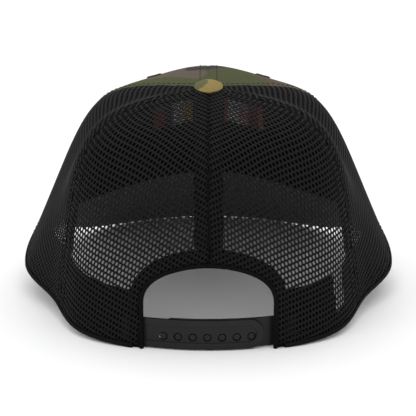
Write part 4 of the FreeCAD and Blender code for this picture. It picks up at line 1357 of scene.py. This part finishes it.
def round_outline(points, radius, corners):
    """Outline whose numbered corners are rounded; points run round a convex shape."""
    done = []
    count = len(points)
    for number, point in enumerate(points):
        point = np.array(point)
        if number not in corners:
            done.append(point)
            continue
        before = np.array(points[number - 1]) - point
        after = np.array(points[(number + 1) % count]) - point
        start = point + before / np.linalg.norm(before) * radius
        end = point + after / np.linalg.norm(after) * radius
        for share in np.linspace(0.0, 1.0, 7):
            done.append((1 - share) ** 2 * start + 2 * share * (1 - share) * point + share ** 2 * end)
    return done


def circle(across, up, radius, count=28):
    return [(across + radius * math.cos(turn), up + radius * math.sin(turn)) for turn in full_turn(count)]


def slot_outline(start, end, low, high, count=20):
    """Straight-sided outline from start back to end, whose far end is a half circle."""
    middle = 0.5 * (low + high)
    radius = 0.5 * (high - low)
    turns = np.linspace(math.pi / 2, 3 * math.pi / 2, count)
    far = [(end + radius + radius * math.cos(t), middle + radius * math.sin(t)) for t in turns]
    return [(start, low), (start, high)] + far


def plate(loops, low, high, bevel):
    """Mesh data of a flat plate with holes and softened edges, between two depths."""
    data = bpy.data.curves.new("plate", "CURVE")
    data.dimensions = "2D"
    data.fill_mode = "BOTH"
    for loop in loops:
        spline = data.splines.new("POLY")
        spline.points.add(len(loop) - 1)
        spline.points.foreach_set("co", np.array([(x, y, 0.0, 1.0) for x, y in loop], float).ravel())
        spline.use_cyclic_u = True
    data.extrude = (high - low) / 2 - bevel
    data.bevel_depth = bevel
    data.bevel_resolution = 2
    data.offset = -bevel
    holder = new_object("plate", data)
    graph = bpy.context.evaluated_depsgraph_get()
    mesh = bpy.data.meshes.new_from_object(holder.evaluated_get(graph))
    bpy.data.objects.remove(holder)
    work = bmesh.new()
    work.from_mesh(mesh)
    bmesh.ops.remove_doubles(work, verts=work.verts, dist=2e-6)
    for cut in MM * np.concatenate([np.arange(-62.0, -1.0, 2.0), np.linspace(-0.6, 0.6, 5)]):
        everything = work.verts[:] + work.edges[:] + work.faces[:]
        bmesh.ops.bisect_plane(work, geom=everything, plane_co=(cut, 0, 0), plane_no=(1, 0, 0))
    work.verts.ensure_lookup_table()
    points = np.array([v.co[:] for v in work.verts])
    points[:, 2] = 0.5 * (low + high) - points[:, 2]
    faces = [tuple(v.index for v in face.verts) for face in work.faces]
    work.free()
    return points, faces


PEG_SIDES = 24


def peg(along, up, base):
    """A peg with a rounded head, standing outwards from a depth."""
    rings = [(PEG_RADIUS + 0.25 * MM, 0.3 * MM), (PEG_RADIUS, 0.05 * MM), (PEG_RADIUS, -0.6 * PEG_LENGTH)]
    rings += [(PEG_RADIUS - 0.7 * MM * (1 - math.cos(a)), -0.6 * PEG_LENGTH - 0.4 * PEG_LENGTH * math.sin(a))
              for a in np.linspace(0.2, math.pi / 2, 6)]
    points = [(x, y, base + depth) for radius, depth in rings
              for x, y in circle(along, up, radius, PEG_SIDES)]
    return np.array(points), ring_faces(len(rings), PEG_SIDES)


def strap_piece(name, parts, sign, angle, face, replaces):
    """Join a strap half's parts, bend its sewn end at its hinge line and bow the rest outwards."""
    points, faces = join_parts(parts)
    along, inward = bend_to_tab(points[:, 0], points[:, 2], angle, face)
    placed = strap_to_object(along, points[:, 1], inward, sign)
    piece = add_piece(name, placed, faces, strap_plastic, replaces, body=None, smooth=False)
    for polygon in piece.data.polygons:
        polygon.use_smooth = polygon.area < 2.2 * MM * MM
    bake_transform(piece)
    return piece


def make_strap():
    """Half with the raised border and the row of holes, and half with the row of pegs."""
    tall = STRAP_HEIGHT
    body_line = slot_outline(TAB_END, -OUTER_REACH, 0.0, tall, 28)
    inside = [(x - math.copysign(PLATE_INSET, x + 20 * MM), y - math.copysign(PLATE_INSET, y - tall / 2))
              for x, y in body_line]
    low = 0.5 * (tall - CHANNEL_HEIGHT)
    channel = slot_outline(-CHANNEL_END, -OUTER_REACH + low, low, tall - low, 22)
    holes = [circle(-FIRST_HOLE - PEG_PITCH * number, PEG_HEIGHT, HOLE_RADIUS) for number in range(PEG_COUNT)]
    parts = [plate([inside] + holes, CHANNEL_DEPTH - 0.02 * MM, OUTER_THICK, 0.18 * MM),
             plate([body_line, channel], 0.0, CHANNEL_DEPTH + 0.3 * MM, 0.2 * MM)]
    strap_piece("strap_half_holes", parts, 1, OUTER_TAB_ANGLE, 0.0,
                ["strap_holes", "strap_tab_left"])
    base = OUTER_THICK + STRAP_GAP
    shoulder = INNER_REACH - INNER_TAPER
    outline = [(TAB_END, 0.0), (TAB_END, tall), (-shoulder, tall), (-INNER_REACH, tall - INNER_TAPER),
               (-INNER_REACH, INNER_TAPER), (-shoulder, 0.0)]
    outline = round_outline(outline, 1.4 * MM, (2, 3, 4, 5))
    parts = [plate([outline], base, base + INNER_THICK, STRAP_BEVEL)]
    last = 2 * HINGE_X - FIRST_HOLE
    parts += [peg(-last + PEG_PITCH * number, PEG_HEIGHT, base) for number in range(PEG_COUNT)]
    strap_piece("strap_half_pegs", parts, -1, INNER_TAB_ANGLE, base,
                ["strap_pegs", "strap_tab_right"])


def finish_nodes():
    """Materials of the CAD nodes that stay in view."""
    for node, material in (("visor_board", board_plastic), ("button_shell", button_metal),
                           ("button_rivet", button_metal)):
        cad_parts[node].data.materials.clear()
        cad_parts[node].data.materials.append(material)


make_mesh_panels()
make_front()
make_eyelets()
make_seam_tapes()
make_hem()
make_sweatband()
make_binding()
make_crown_stitches()
make_visor()
make_button()
make_labels()
make_strap()
finish_nodes()
